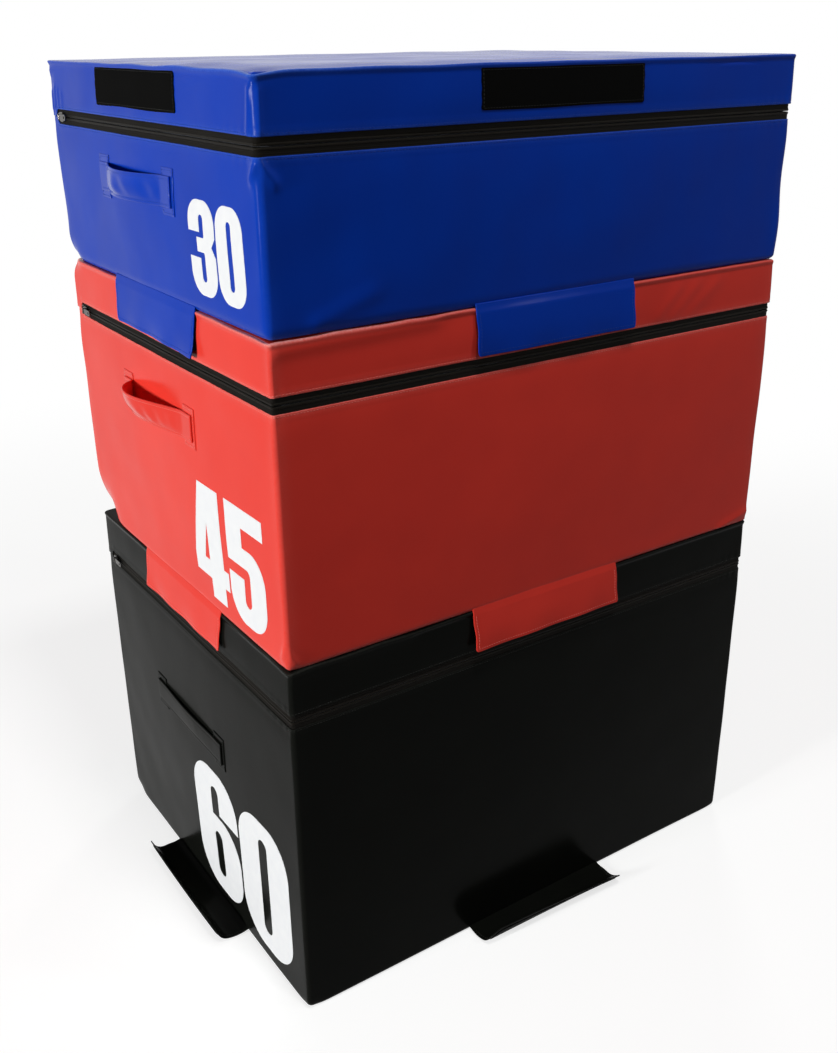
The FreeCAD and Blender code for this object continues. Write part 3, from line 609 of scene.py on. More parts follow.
def tubRows(box, ring):
    # over the rounded bottom edge, up the wall, over the folded hem, down inside and over the floor
    s, b, radius = coverShape, levels[box], cornerRadius[box]
    rim = b["zip"] - ring["gap"]
    turn = np.radians(np.linspace(0, 90, s["roundRows"]))[:, None]
    rise = bottomRise[box] * (1 - s["crispShare"] * ring["crisp"])
    turnedIn = s["roundShare"] * radius * (1 - np.sin(turn))
    bottom = (turnedIn, b["base"] + rise * (1 - np.cos(turn)), np.sin(turn) ** 2, 1.0)
    count = max(s["tubRows"], int((b["zip"] - b["base"]) / s["rowPitch"]))
    wall = wallRows(b["base"] + rise, rim - hemProfile[0, 1], count)
    hem = (hemProfile[:, :1], rim - hemProfile[:, 1:], np.ones((len(hemProfile), 1)), 1.0)
    floor = b["base"] + s["wall"] + s["foamGap"]
    share = np.linspace(0, 1, lining["tubRows"])[1:-1, None]
    innerLevel = (rim - lining["tubRim"]) * (1 - share) + (floor + lining["tubTurn"]) * share
    inner = (s["wall"], innerLevel, 1 - share**3, 0.0)
    foot = (lining["tubFoot"][0], floor + lining["tubFoot"][1], [[0.0]], 0.0)
    return rim, (bottom, wall, hem, inner, foot, (lining["capShare"] * radius, floor, [[0.0]], 0.0))


def lidRows(box, ring):
    # over the ceiling, down inside, over the folded hem, up the wall and over the welt
    s, b = coverShape, levels[box]
    rim = b["zip"] + ring["gap"]
    ceiling = b["top"] - s["wall"] - s["foamGap"]
    cap = (lining["capShare"] * cornerRadius[box], ceiling, [[0.0]], 0.0)
    head = (lining["lidHead"][0], ceiling - lining["lidHead"][1], [[0.0]], 0.0)
    share = np.linspace(0, 1, lining["lidRows"])[:, None]
    innerLevel = (ceiling - lining["lidTurn"]) * (1 - share) + (rim + lining["lidRim"]) * share
    inner = (s["wall"], innerLevel, np.sqrt(share), 0.0)
    hem = (hemProfile[::-1, :1], rim + hemProfile[::-1, 1:], np.ones((len(hemProfile), 1)), 1.0)
    wall = wallRows(rim + hemProfile[0, 1], b["top"] - weltProfile[0, 1], s["lidRows"])
    give = np.cos(np.linspace(0, np.pi / 2, len(weltProfile)))[:, None] ** 2
    welt = (weltProfile[:, :1], b["top"] - weltProfile[:, 1:], give, 1.0)
    return rim, (cap, head, inner, hem, wall, welt)


def capOver(ring, ringIds, firstId):
    # a flat panel in a ring of four sides: the blend of opposite sides less the blend of the corners
    stepsX, stepsY = [coverShape[key] + 2 * coverShape["arcSteps"] for key in ("columnsX", "columnsY")]

    def fourSides(values):
        # front, right, back and left of the ring, each from the front or the left on
        values = np.concatenate([values, values[:1]])
        turns = np.cumsum([0, stepsX, stepsY, stepsX, stepsY])
        sides = [values[a : b + 1] for a, b in zip(turns, turns[1:])]
        return sides[0], sides[1], sides[2][::-1], sides[3][::-1]

    front, right, back, left = fourSides(ring)
    u = np.linspace(0, 1, stepsX + 1)[None, 1:-1, None]
    v = np.linspace(0, 1, stepsY + 1)[1:-1, None, None]
    inner = (1 - v) * front[None, 1:-1] + v * back[None, 1:-1] + (1 - u) * left[1:-1, None]
    inner = inner + u * right[1:-1, None] - (1 - u) * ((1 - v) * front[0] + v * back[0])
    inner = inner - u * ((1 - v) * front[-1] + v * back[-1])
    ids = np.zeros((stepsY + 1, stepsX + 1), int)
    ids[0], ids[:, -1], ids[-1], ids[:, 0] = fourSides(ringIds)
    ids[1:-1, 1:-1] = firstId + np.arange((stepsX - 1) * (stepsY - 1)).reshape(stepsY - 1, stepsX - 1)
    return inner.reshape(-1, 3), ids


def coverShell(box, panel):
    # one closed skin: a flat cap, rows of a profile carried round the box, and the other cap
    s, g, b = coverShape, gatherShape, levels[box]
    ring = coverRing(box)
    run, x, y, nx, ny, fromFirst = [ring[key] for key in ("run", "x", "y", "nx", "ny", "fromFirst")]
    rim, blocks = tubRows(box, ring) if panel == "tub" else lidRows(box, ring)
    inset, level, give, outer = [
        np.concatenate([np.broadcast_to(block[i], (len(block[2]), len(run))) for block in blocks])
        for i in range(4)
    ]
    fromRim = np.abs(level - rim)
    drift, comes = [size * np.sin(run * turns) for size, turns in (g["drift"], g["comes"])]
    often = (g["least"] + g["atCorners"] * ring["corner"] + comes) * bell(fromRim, g["reach"]) * outer
    gather = g["size"] * np.sin(2 * np.pi * (run + drift) / g["pitch"]) * often
    edgeWave = wavy(box, "edge", np.stack(np.broadcast_arrays(x, y, level), -1)) * ring["sharp"]
    offset = wallStandOff(box, panel, x, y, level, nx, ny) + gather
    offset = give * (offset + coverUneven[box] ** 2 * edgeWave) - inset
    points = slumped(box, np.stack([x + nx * offset, y + ny * offset, level], -1))
    if panel == "lid":
        below = b["top"] - level
        wave = wavy(box, "top", np.stack([x, y, 0 * x], -1))
        wave = wave if box == "blue" else -np.abs(wave)  # the lower two can't rise into the box above
        wave = wave * (s["topLeast"] + (1 - s["topLeast"]) * bell(fromFirst, s["topReach"]))
        dip = topDip[box] * bell(fromFirst, s["dipReach"]) * np.exp(-below / s["dipDepth"])
        points[..., 2] += (wave * np.exp(-below / s["topDepth"]) - dip) * outer
    ids = np.arange(inset.size).reshape(inset.shape)
    bottom, bottomIds = capOver(points[0], ids[0], inset.size)
    top, topIds = capOver(points[-1], ids[-1], inset.size + len(bottom))
    if panel == "lid":
        power = s["crownPower"]
        inside = (1 - (top[:, 0] / b["halfX"]) ** power) * (1 - (top[:, 1] / b["halfY"]) ** power)
        wave = np.clip(s["crownMean"] + wavy(box, "crown", top), 0, s["crownMost"])
        top[:, 2] += topCrown[box] * wave * np.clip(inside, 0, 1)
    else:
        bottom[:, 2] += s["bottomSize"] * (0.5 + 0.5 * np.tanh(wavy(box, "bottom", bottom)))
    quads = [quadGrid(bottomIds)[:, ::-1], quadGrid(ids, 1), quadGrid(topIds)]
    # edges painted pale along hems, corners and outer edges: part wear, part painted highlight, the outer
    # edges' highlight strongest at the front left
    r = wearAndHighlightShape
    edgeWearAndHighlight = r["edgeLeast"] + (1 - r["edgeLeast"]) * bell(fromFirst, r["edgeSpread"])
    fromEdge = np.abs(level - (b["base"] if panel == "tub" else b["top"]))
    wearAndHighlight = r["hem"] * np.exp(-fromRim / r["hemReach"]) + r["corner"] * ring["sharp"]
    wearAndHighlight = np.clip((wearAndHighlight + np.exp(-fromEdge / r["edgeReach"]) * edgeWearAndHighlight) * outer, 0, 1)
    wearAndHighlight = np.concatenate([wearAndHighlight.ravel(), np.zeros(len(bottom) + len(top))])
    return np.concatenate([points.reshape(-1, 3), bottom, top]), np.concatenate(quads), wearAndHighlight


for box in boxNames:
    for panel in ("tub", "lid"):
        points, quads, wearAndHighlight = coverShell(box, panel)
        name = f"{box}_cover_{panel}"
        piece = makePiece(name + "_vinyl", (points, quads), vinyl[box], f"{box}_{panel}")
        piece.data.attributes.new("wearAndHighlight", "FLOAT", "POINT").data.foreach_set("value", wearAndHighlight.astype(np.float32))
        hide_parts(name)
print("covers made")


# foam blocks
foamShape = {"corner": 0.018, "edge": 0.010, "columns": 96, "edgeRows": 6, "capShare": 0.99, "crease": 40}


def foamBlockShape(box):
    # a block in the place of the core: rows of a rounded rectangle, with softened top and bottom edges
    low, high = [np.array(corner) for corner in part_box(box + "_foam_core")]
    corner, edge = foamShape["corner"], foamShape["edge"]
    turn = np.linspace(0, 2 * np.pi, foamShape["columns"] + 1)[:-1] - np.pi * 0.75
    normal = np.stack([np.cos(turn), np.sin(turn)], -1)
    core = np.where(normal >= 0, 1.0, -1.0) * ((high - low)[:2] / 2 - corner)
    arc = np.radians(np.linspace(0, 90, foamShape["edgeRows"]))
    sine, cosine = edge * (1 - np.sin(arc)), edge * (1 - np.cos(arc))
    cap = [corner * foamShape["capShare"]]
    inset = np.concatenate([cap, sine, cosine, cap])
    level = np.concatenate([low[2:], low[2] + cosine, high[2] - sine, high[2:]])
    ring = (low + high)[:2] / 2 + core + normal * (corner - inset[:, None, None])
    points = np.concatenate([ring, np.broadcast_to(level[:, None, None], (*ring.shape[:2], 1))], -1)
    ids = np.arange(ring.size // 2).reshape(ring.shape[:2])
    return slumped(box, points.reshape(-1, 3)), quadGrid(ids, 1), [ids[0][::-1], ids[-1]]


for box in boxNames:
    shape = foamBlockShape(box)
    piece = makePiece(f"{box}_foam_block", shape, foamBlock, f"{box}_tub", foamShape["crease"])
    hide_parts(box + "_foam_core")
print("foam blocks made")


# zips
zipShape = {
    "slit": 0.0007,
    "tapeInset": 0.0017,
    "tapeThick": 0.0008,
    "tapeLap": 0.0095,
    "tapeColumns": 36,
    "tapeCrease": 50,
    "coilInset": 0.0007,
    "coilThick": 0.0028,
    "coilHigh": 0.0042,
    "coilPitch": 0.0030,  # real coil is near 2 mm, drawn a little coarser
    "coilSteps": 4,  # to a turn
    "coilSwell": 0.16,
    "coilPoints": (-60, 0, 60, 120, 180, 240),  # degrees round its oval section
    "coilSlit": 0.4,  # of the tape's slit, so that the two coils mesh
    "ribPitch": 0.0026,
    "ribDepth": 0.00016,
    "pathStep": 0.005,
}


def zipRuns(box, step):
    # arc lengths along a zip: from the back of the left end, round the front, to the back of the right end
    knots = hug(box, 0.0)[4]
    spare = levels[box]["halfY"] - cornerRadius[box] - zipPlan["end"]
    start = knots[7] + spare - knots[-1]
    stop = knots[4] - spare
    return np.linspace(start, stop, int((stop - start) / step) + 1)


def carried(box, run, inset, across, upper):
    # a closed profile (rows) carried round a box (columns): inset from the dressed wall, across from the zip
    if not upper:
        inset, across = inset[::-1], -across[::-1]
    x, y, nx, ny, _ = hug(box, run)
    place = (x, y, np.full_like(run, levels[box]["zip"]), nx, ny)
    out = (wallStandOff(box, "tub", *place) + wallStandOff(box, "lid", *place)) / 2 - inset
    level = levels[box]["zip"] + across
    points = np.stack(np.broadcast_arrays(x + nx * out, y + ny * out, level), -1)
    ids = np.arange(points.size // 3).reshape(points.shape[:2])
    return points.reshape(-1, 3), quadGrid(ids, 0), [ids[:, 0], ids[::-1, -1]]


def tapeShape(box, upper):
    # flat tape with lengthwise ribs on its face
    z = zipShape
    far = zipPlan["hemGap"] + z["tapeLap"]
    face = np.linspace(z["slit"], far, z["tapeColumns"])
    rib = z["ribDepth"] * np.cos(2 * np.pi * face / z["ribPitch"])
    inset = np.concatenate([z["tapeInset"] - rib, 2 * [z["tapeInset"] + z["tapeThick"]]])
    across = np.concatenate([face, [far, z["slit"]]])
    return carried(box, zipRuns(box, z["pathStep"]), inset[:, None], across[:, None], upper)


def coilShape(box, upper):
    # a coil pressed flat: an oval section whose size swells once each turn, the two coils half a turn apart
    z = zipShape
    run = zipRuns(box, z["coilPitch"] / z["coilSteps"])
    phase = 2 * np.pi * run / z["coilPitch"] + (np.pi if upper else 0)
    swell = 1 - z["coilSwell"] * (0.5 + 0.5 * np.cos(phase))
    turn = np.radians(z["coilPoints"])[:, None]
    inset = z["coilInset"] + z["coilThick"] / 2 * (1 - np.cos(turn) * swell)
    across = z["slit"] * z["coilSlit"] + z["coilHigh"] / 2 * (1 + np.sin(turn) * swell)
    return carried(box, run, inset, across, upper)


for box in boxNames:
    for name, panel in (("lower", "tub"), ("upper", "lid")):
        zipName, body = f"{box}_zip_{name}", f"{box}_{panel}"
        tape, coil = tapeShape(box, name == "upper"), coilShape(box, name == "upper")
        piece = makePiece(zipName + "_tape", tape, zipWeave, body, zipShape["tapeCrease"])
        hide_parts(zipName)
        makePiece(zipName + "_coil", coil, zipNylon, body)
    for part in ("slider", "pull"):
        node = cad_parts[f"{box}_zip_{part}"]
        node.data.materials.clear()
        node.data.materials.append(zipMetal)
print("zips made")


# stitches
stitchShape = {
    "length": 0.0034,
    "pitch": 0.0046,
    "thick": 0.00085,
    "proud": 0.00012,
    "probe": 0.001,  # half the length over which the path's direction is taken
    "along": (-0.5, -0.36, 0, 0.36, 0.5),  # the five rings, as shares of the length and of half the thickness
    "girth": (0.4, 0.9, 1.0, 0.9, 0.4),
    "dip": (-0.9, -0.1, 0.25, -0.1, -0.9),
    "points": (45, 135, 225, 315),  # degrees round each ring
}


def stitches(path, normal):
    # short bent capsules along a path, five rings of four points each, dipping into the cloth at both ends
    t = stitchShape
    run = np.concatenate([[0], np.cumsum(np.linalg.norm(np.diff(path, axis=0), axis=1))])
    count = max(1, int(run[-1] / t["pitch"]))
    centre = (np.arange(count) + 0.5) * run[-1] / count

    def at(values, where):
        return np.stack([np.interp(where, run, values[:, i]) for i in range(3)], -1)[:, None, None]

    ahead = at(path, centre + t["probe"]) - at(path, centre - t["probe"])
    ahead /= np.linalg.norm(ahead, axis=-1, keepdims=True)
    up = at(normal, centre)
    up /= np.linalg.norm(up, axis=-1, keepdims=True)
    along, girth, dip = [np.array(t[key])[:, None, None] for key in ("along", "girth", "dip")]
    turn = np.radians(t["points"])[:, None]
    ring = np.cross(up, ahead) * np.cos(turn) + up * np.sin(turn)
    points = at(path, centre) + ahead * along * t["length"] + up * (dip * t["thick"] / 2 + t["proud"])
    points = points + ring * girth * t["thick"] / 2
    size = len(along) * len(turn)
    ids = np.arange(size).reshape(len(along), len(turn)).T
    one = np.concatenate([quadGrid(ids, 0), [ids[:, 0], ids[::-1, -1]]])
    return points.reshape(-1, 3), (one[None] + size * np.arange(count)[:, None, None]).reshape(-1, 4)


def sewnRound(box, panel, side, centre, middle, wide, high, count, out):
    # stitches round a rectangle on a dressed wall
    run, end = np.linspace(-0.5, 0.5, count), np.full(count, 0.5)
    along = centre + wide * np.concatenate([run, end, -run, -end])
    level = middle + high * np.concatenate([-end, run, end, -run])
    path = onWall(box, panel, side, along, level, out)
    return stitches(path, np.broadcast_to(sideFrames[side][1], path.shape))


hemSeam = {"fromEdge": 0.0030, "proud": 0.0001, "pathStep": 0.002}
for box in boxNames:
    for panel, sign in (("tub", -1), ("lid", 1)):
        run = zipRuns(box, hemSeam["pathStep"])
        x, y, nx, ny, _ = hug(box, run)
        off = zipPlan["hemGap"] + zipPlan["seamGap"] + hemSeam["fromEdge"]
        level = np.full_like(run, levels[box]["zip"] + sign * off)
        lift = wallStandOff(box, panel, x, y, level, nx, ny) + hemSeam["proud"]
        path = np.stack([x + nx * lift, y + ny * lift, level], -1)
        shape = stitches(path, np.stack([nx, ny, 0 * nx], -1))
        makePiece(f"{box}_{panel}_hem_stitches", shape, thread[box], f"{box}_{panel}")
print("hem stitches made")


# flaps
flapShape = {
    "wide": 0.285,
    "long": 0.071,
    "thick": 0.002,
    "rootOut": -0.0022,
    "rootUp": 0.0062,
    "crease": (0.0115, 0.0022),  # where each bend begins down the flap, and its length
    "creaseShare": 0.32,  # of the crease, which still goes outwards
    "hangGap": 0.00215,  # the inner face stands this far off the lid below
    "settle": (0, 0.016),
    "lift": (0.020, 0.050),
    "waver": 2.2,  # degrees by which the free edge turns in and out along its width
    "waverTurns": 62,
    "spreadSlope": -12,  # degrees, where a spread flap leaves the box
    "spread": (0.006, 0.012),
    "curl": (0.026, 0.042),
    "floorGap": 0.0002,
    "floor": (0, 0.012),
    "taperPower": 1.5,
    "sway": 0.0007,  # hand-cut sides wander a little
    "swayTurns": 150,
    "swayFrom": (0, 0.030),
    "tableSize": (143, 61),
    "cell": (0.0024, 0.0048),
    "probe": 0.0008,
}
hookShape = {
    "wide": 0.265,
    "long": 0.044,
    "margin": 0.006,
    "thick": 0.0008,
    "gap": 0.0003,
    "cell": (0.003, 0.006),
    "crease": 50,
}
flapSeam = {"margin": 0.005, "from": 0.014, "sideSteps": 60, "edgeSteps": 160}
flapShoulder = {"red": -68, "blue": -76}  # slope of the part between the seam and the crease, in degrees
flapLean = {  # degrees by which a hanging flap leans out of plumb, at the start, middle and end of its width
    ("red", "front"): (8, 6, 4),
    ("blue", "front"): (4, 4, 4),
    ("red", "back"): (5, 4, 6),
}
flapCorner = {  # radius of the free corners at the start and end of the width
    ("black", "front"): (0.034, 0.008),
    ("black", "left"): (0.006, 0.026),
    ("black", "right"): (0.018, 0.010),
    ("black", "back"): (0.010, 0.020),
}
plainCorner = (0.005, 0.004)
flapTaper = {("red", "left"): (0.001, 0.008), ("blue", "left"): (0.001, 0.003)}  # how far the sides draw in
flapLift = {  # degrees by which the free edge turns out, at the start, middle and end of its width
    ("blue", "front"): (0, -1, 1),
    ("blue", "left"): (2, 2, 14),
    ("blue", "right"): (5, 2, 3),
    ("blue", "back"): (3, 1, 3),
    ("red", "front"): (0, 0, 3),
    ("red", "left"): (6, 2, 7),
    ("red", "right"): (3, 1, 5),
    ("red", "back"): (3, 2, 4),
}
flapCurl = {  # degrees by which the spread flaps of the lowest box curl up, in the same places
    "front": (82, 66, 44),
    "left": (72, 66, 70),
    "right": (55, 60, 48),
    "back": (50, 58, 62),
}
hookDrop = flapShape["thick"] / 2 + hookShape["gap"] + hookShape["thick"] / 2
spreadLow = hookDrop + hookShape["thick"] / 2 + flapShape["floorGap"]


def acrossThree(values, share):
    # a smooth curve through three values at 0, a half and 1
    a, b, c = values
    return a + (4 * b - 3 * a - c) * share + (2 * a + 2 * c - 4 * b) * share**2


def readTable(table, row, column):
    # values between the entries of a table, at shares 0 to 1 of its rows and columns
    row = np.clip(row, 0, 1) * (table.shape[0] - 1)
    column = np.clip(column, 0, 1) * (table.shape[1] - 1)
    r = np.minimum(row.astype(int), table.shape[0] - 2)
    c = np.minimum(column.astype(int), table.shape[1] - 2)
    dr, dc = row - r, column - c
    near = table[r, c] * (1 - dc) + table[r, c + 1] * dc
    far = table[r + 1, c] * (1 - dc) + table[r + 1, c + 1] * dc
    return near * (1 - dr) + far * dr


def flapMiddle(box, side, s, w):
    # the middle of a flap: its slope at each length and width, added up along its length so that the vinyl
    # keeps its size, then read off at length s and width w
    f, base = flapShape, levels[box]["base"]
    s, w = np.broadcast_arrays(s, w)
    fine = np.linspace(0, f["long"], f["tableSize"][0])[:, None]
    share = np.linspace(0, 1, f["tableSize"][1])[None]
    if box == "black":
        curl = acrossThree(flapCurl[side], share) * easeIn(fine, *f["curl"])
        slope = np.radians(f["spreadSlope"] * (1 - easeIn(fine, *f["spread"])) + curl)
    else:
        bend = easeIn(fine, *f["crease"])
        lean = acrossThree(flapLean.get((box, side), (0, 0, 0)), share)
        waver = f["waver"] * np.sin((share - 0.5) * f["wide"] * f["waverTurns"] + coverSeeds[box])
        lift = (acrossThree(flapLift[(box, side)], share) + waver) * easeIn(fine, *f["lift"])
        slope = np.radians(flapShoulder[box] - (90 - lean + flapShoulder[box]) * bend + lift)
    out, level = [
        root + (np.cumsum(part, 0) - part) * fine[1, 0]
        for root, part in ((f["rootOut"], np.cos(slope)), (f["rootUp"], np.sin(slope)))
    ]
    if box == "black":
        sunk = np.maximum(0, spreadLow - level.min(0, keepdims=True))
        level = level + sunk * easeIn(fine, *f["floor"])
    out, level = [readTable(table, s / f["long"], w / f["wide"] + 0.5) for table in (out, level)]
    if box != "black":
        below = boxNames[boxNames.index(box) - 1]
        knee = f["crease"][0] + f["creaseShare"] * f["crease"][1]
        hangReach = f["rootOut"] + math.cos(math.radians(flapShoulder[box])) * knee
        lid = sideStandOff(below, "lid", side, w, base + level)
        out = out + easeIn(s, *f["settle"]) * (f["hangGap"] + f["thick"] / 2 - hangReach + lid)
    return sidePoints(box, side, w, out, base + level)


def flapSides(box, side, s, margin=0.0):
    # where a flap's two sides are at each length, less a margin: corners rounded, sides drawn in and swaying
    f = flapShape
    corners, draws = flapCorner.get((box, side), plainCorner), flapTaper.get((box, side), (0, 0))
    taper = margin + np.outer(draws, (s / f["long"]) ** f["taperPower"]).reshape(2, *np.shape(s))
    trim = [cornerTrim(s, f["long"] - margin, max(corner - margin, 0)) for corner in corners]
    start, end = taper + trim
    sway = f["sway"] * np.sin(s * f["swayTurns"] + coverSeeds[box]) * easeIn(s, *f["swayFrom"])
    return -f["wide"] / 2 + start - sway, f["wide"] / 2 - end + sway


def flapGrid(box, side):
    # the flap's grid from its free edge up to its root, its free corners rounded
    f = flapShape
    s = edgeSteps(f["long"], f["cell"][0])[::-1, None]
    share = (edgeSteps(f["wide"], f["cell"][1]) / f["wide"])[None]
    first, last = flapSides(box, side, s)
    half = roundedEdge(s, (share - 0.5) * f["wide"], f["long"], f["wide"], f["thick"])
    return flapMiddle(box, side, s, first + share * (last - first)), half


def hookGrid(box, side):
    # the hook strip's grid on the flap's inner face, kept off the flap's edges
    f, k = flapShape, hookShape
    s = (f["long"] - k["margin"] - edgeSteps(k["long"], k["cell"][0]))[:, None]
    first, last = flapSides(box, side, s, k["margin"])
    first, last = np.maximum(first, -k["wide"] / 2), np.minimum(last, k["wide"] / 2)
    share = (edgeSteps(k["wide"], k["cell"][1]) / k["wide"])[None]
    inner = flapMiddle(box, side, s, first + (last - first) * share)
    return inner - gridNormals(inner) * hookDrop, np.full(inner.shape[:2], k["thick"] / 2)


def flapSeamLine(box, side):
    # down one side, along the free edge and up the other on the flap's outer face, with the normals
    f, m = flapShape, flapSeam
    far = f["long"] - m["margin"]
    reach = m["from"] + (far - m["from"]) * np.sin(np.linspace(0, np.pi / 2, m["sideSteps"]))
    first, last = flapSides(box, side, reach, m["margin"])
    edge = np.linspace(first[-1], last[-1], m["edgeSteps"])[1:-1]
    s = np.concatenate([reach, np.full_like(edge, far), reach[::-1]])[:, None]
    w = np.concatenate([first, edge, last[::-1]])[:, None]
    here = flapMiddle(box, side, s, w + f["probe"] * np.array([[-1, 0, 1]]))
    down = flapMiddle(box, side, np.clip(s - f["probe"], 0, f["long"]), w)[:, 0]
    normal = np.cross(here[:, 2] - here[:, 0], down - here[:, 1])
    normal /= np.linalg.norm(normal, axis=1, keepdims=True)
    return here[:, 1] + normal * f["thick"] / 2, normal


for number, box in enumerate(boxNames):
    for side in sideFrames:
        body = f"{box}_{side}_flap"
        flap = makePiece(body + "_vinyl", slab(*flapGrid(box, side)), vinyl[box], body)
        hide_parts(body)
        strip = slab(*hookGrid(box, side))
        hooks = makePiece(body + "_hook_strip", strip, hookTape, body, hookShape["crease"])
        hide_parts(body + "_hooks")
        sewn = stitches(*flapSeamLine(box, side))
        seam = makePiece(body + "_stitches", sewn, thread[box], body)
print("flaps made")


# loop patches
patchShape = {
    "wide": 0.275,
    "high": 0.050,
    "thick": 0.001,
    "fromTop": 0.005,
    "corner": 0.004,
    "ragged": 0.0005,  # hand-cut edges are never quite straight
    "endTurns": 410,
    "edgeTurns": 33,
    "cell": (0.004, 0.006),
    "seamMargin": 0.003,
    "seamSteps": 120,
}
for box in boxNames:
    p = patchShape
    wide, high, margin = p["wide"], p["high"], 2 * p["seamMargin"]
    centre = levels[box]["top"] - p["fromTop"] - high / 2
    pads, seams = [], []
    for number, side in enumerate(sideFrames):
        t = edgeSteps(high, p["cell"][0])[:, None]
        a = centred(wide, p["cell"][1])[None]
        a = a * (1 - 2 * cornerTrim(np.abs(t - high / 2), high / 2, p["corner"]) / wide)
        ends = p["ragged"] * np.sin(t * p["endTurns"] + number) * (a / wide * 2)
        level = centre - high / 2 + t + p["ragged"] * np.sin(a * p["edgeTurns"] + number)
        middle = onWall(box, "lid", side, a + ends, level, p["thick"] / 2)
        pads.append(slab(middle, roundedEdge(t, a, high, wide, p["thick"])))
        sewn = (0.0, centre, wide - margin, high - margin, p["seamSteps"], p["thick"])
        seams.append(sewnRound(box, "lid", side, *sewn))
    piece = makePiece(f"{box}_loop_pads", joined(pads), loopPile, f"{box}_lid")
    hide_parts(box + "_loop_patches")
    makePiece(f"{box}_loop_pad_stitches", joined(seams), thread["black"], f"{box}_lid")
print("loop pads made")


# handles
strapShape = {
    "wide": 0.040,
    "thick": 0.003,
    "span": 0.190,
    "tab": 0.030,
    "bowPower": 1.25,
    "gapeFade": 1.4,
    "droop": 0.0020,  # how far the upper edge sinks where the strap stands out
    "cell": (0.0028, 0.0035),
    "padPower": 6,
    "creaseTilt": 0.6,
    "seamMargin": 0.004,
    "seamDepth": 0.00045,
    "seamWidth": 0.0012,
    "seamEnd": 0.003,
    "seamSteps": 260,
    "seamSunk": 0.0004,
    "probe": 0.001,
}
anchorShape = {
    "wide": 0.036,
    "high": 0.060,
    "thick": 0.0012,
    "round": 0.0007,
    "cell": 0.004,
    "seamMargin": 0.003,
    "seamSteps": 60,
}
strapCentre = {"left": -0.018, "right": 0.018}  # along each end from its middle, towards the back
strapLevel = {"black": 0.335, "red": 0.278, "blue": 0.148}
strapBow = {"black": 0.0012, "red": 0.024, "blue": 0.014}
strapPeak = {"black": 0.5, "red": 0.30, "blue": 0.42}  # where it stands out most, from its back end on
strapPad = {"black": 0.0002, "red": 0.0022, "blue": 0.0030}  # how far the padding swells each face
strapGape = {"black": 1.60, "red": 0.55, "blue": 0.20}  # how much further its upper edge stands out


def strapMiddle(box, side, a, v):
    # a strap sewn down at both ends: it bows out as a skewed sine, its upper edge further than its lower
    h = strapShape
    u = np.clip(a / h["span"] + 0.5, 0, 1)
    u = u if side == "left" else 1 - u
    skew = math.log(0.5) / math.log(strapPeak[box])
    bow = strapBow[box] * np.sin(np.pi * u**skew) ** h["bowPower"]
    bow = bow * (1 + strapGape[box] * (v / h["wide"]) * (h["gapeFade"] - u))
    level = levels[box]["base"] + strapLevel[box] + v
    level = level - h["droop"] * np.sin(np.pi * u) * (v / h["wide"] + 0.5)
    return onWall(box, "tub", side, strapCentre[side] + a, level, anchorShape["thick"] + h["thick"] / 2 + bow)


def strapGrid(box, side):
    # the strap's middle grid and half thickness: a rounded edge, a sewn groove along both edges, and padding
    # that swells between them with slanting creases
    h = strapShape
    wide, length = h["wide"], h["span"] + 2 * h["tab"]
    a = centred(length, h["cell"][1])[None]
    v = centred(wide, h["cell"][0])[:, None]
    sewn = wide / 2 - h["seamMargin"]
    half = roundedEdge(v + wide / 2, a, wide, length, h["thick"])
    half = half - h["seamDepth"] * bell(np.abs(v) - sewn, h["seamWidth"])
    swell = np.clip(1 - (v / sewn) ** 2, 0, 1) * np.clip(1 - (2 * a / h["span"]) ** h["padPower"], 0, 1)
    places = np.stack([a + 0 * v, h["creaseTilt"] * a + v, 0 * a + 0 * v], -1)
    return strapMiddle(box, side, a, v), half + strapPad[box] * swell * (1 + wavy(box, "strap", places))


def strapSeam(box, side, edge):
    # stitches along one edge of a strap
    h = strapShape
    end = h["span"] / 2 + h["tab"] - h["seamEnd"]
    run = np.linspace(-end, end, h["seamSteps"])[None]
    across = edge * (h["wide"] / 2 - h["seamMargin"]) + h["probe"] * np.array([[-1], [0], [1]])
    grid = strapMiddle(box, side, run, across)
    normal = gridNormals(grid)[1]
    return stitches(grid[1] + normal * (h["thick"] / 2 - h["seamSunk"]), normal)


for box in boxNames:
    h, k = strapShape, anchorShape
    strapMid = levels[box]["base"] + strapLevel[box]
    patches, seams = [], []
    for side in ("left", "right"):
        shape = slab(*strapGrid(box, side))
        strap = makePiece(f"{box}_{side}_strap", shape, strapVinyl[box], f"{box}_tub")
        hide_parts(f"{box}_{side}_handle")
        seams += [strapSeam(box, side, edge) for edge in (-1, 1)]
        for end in (-1, 1):
            centre = strapCentre[side] + end * (h["span"] + k["wide"]) / 2
            a = centred(k["wide"], k["cell"])[None]
            v = centred(k["high"], k["cell"])[:, None]
            near = np.minimum(k["wide"] / 2 - np.abs(a), k["high"] / 2 - np.abs(v))
            half = roundedOff(k["thick"], near, k["round"])
            patches.append(slab(onWall(box, "tub", side, centre + a, strapMid + v, k["thick"] / 2), half))
            wide, high = k["wide"] - 2 * k["seamMargin"], k["high"] - 2 * k["seamMargin"]
            sewn = (centre, strapMid, end * wide, high, k["seamSteps"], k["thick"])
            seams.append(sewnRound(box, "tub", side, *sewn))
    anchors = joined(patches)
    piece = makePiece(f"{box}_strap_anchors", anchors, strapVinyl[box], f"{box}_tub")
    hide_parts(box + "_handle_anchors")
    makePiece(f"{box}_strap_stitches", joined(seams), thread[box], f"{box}_tub")
print("handles made")


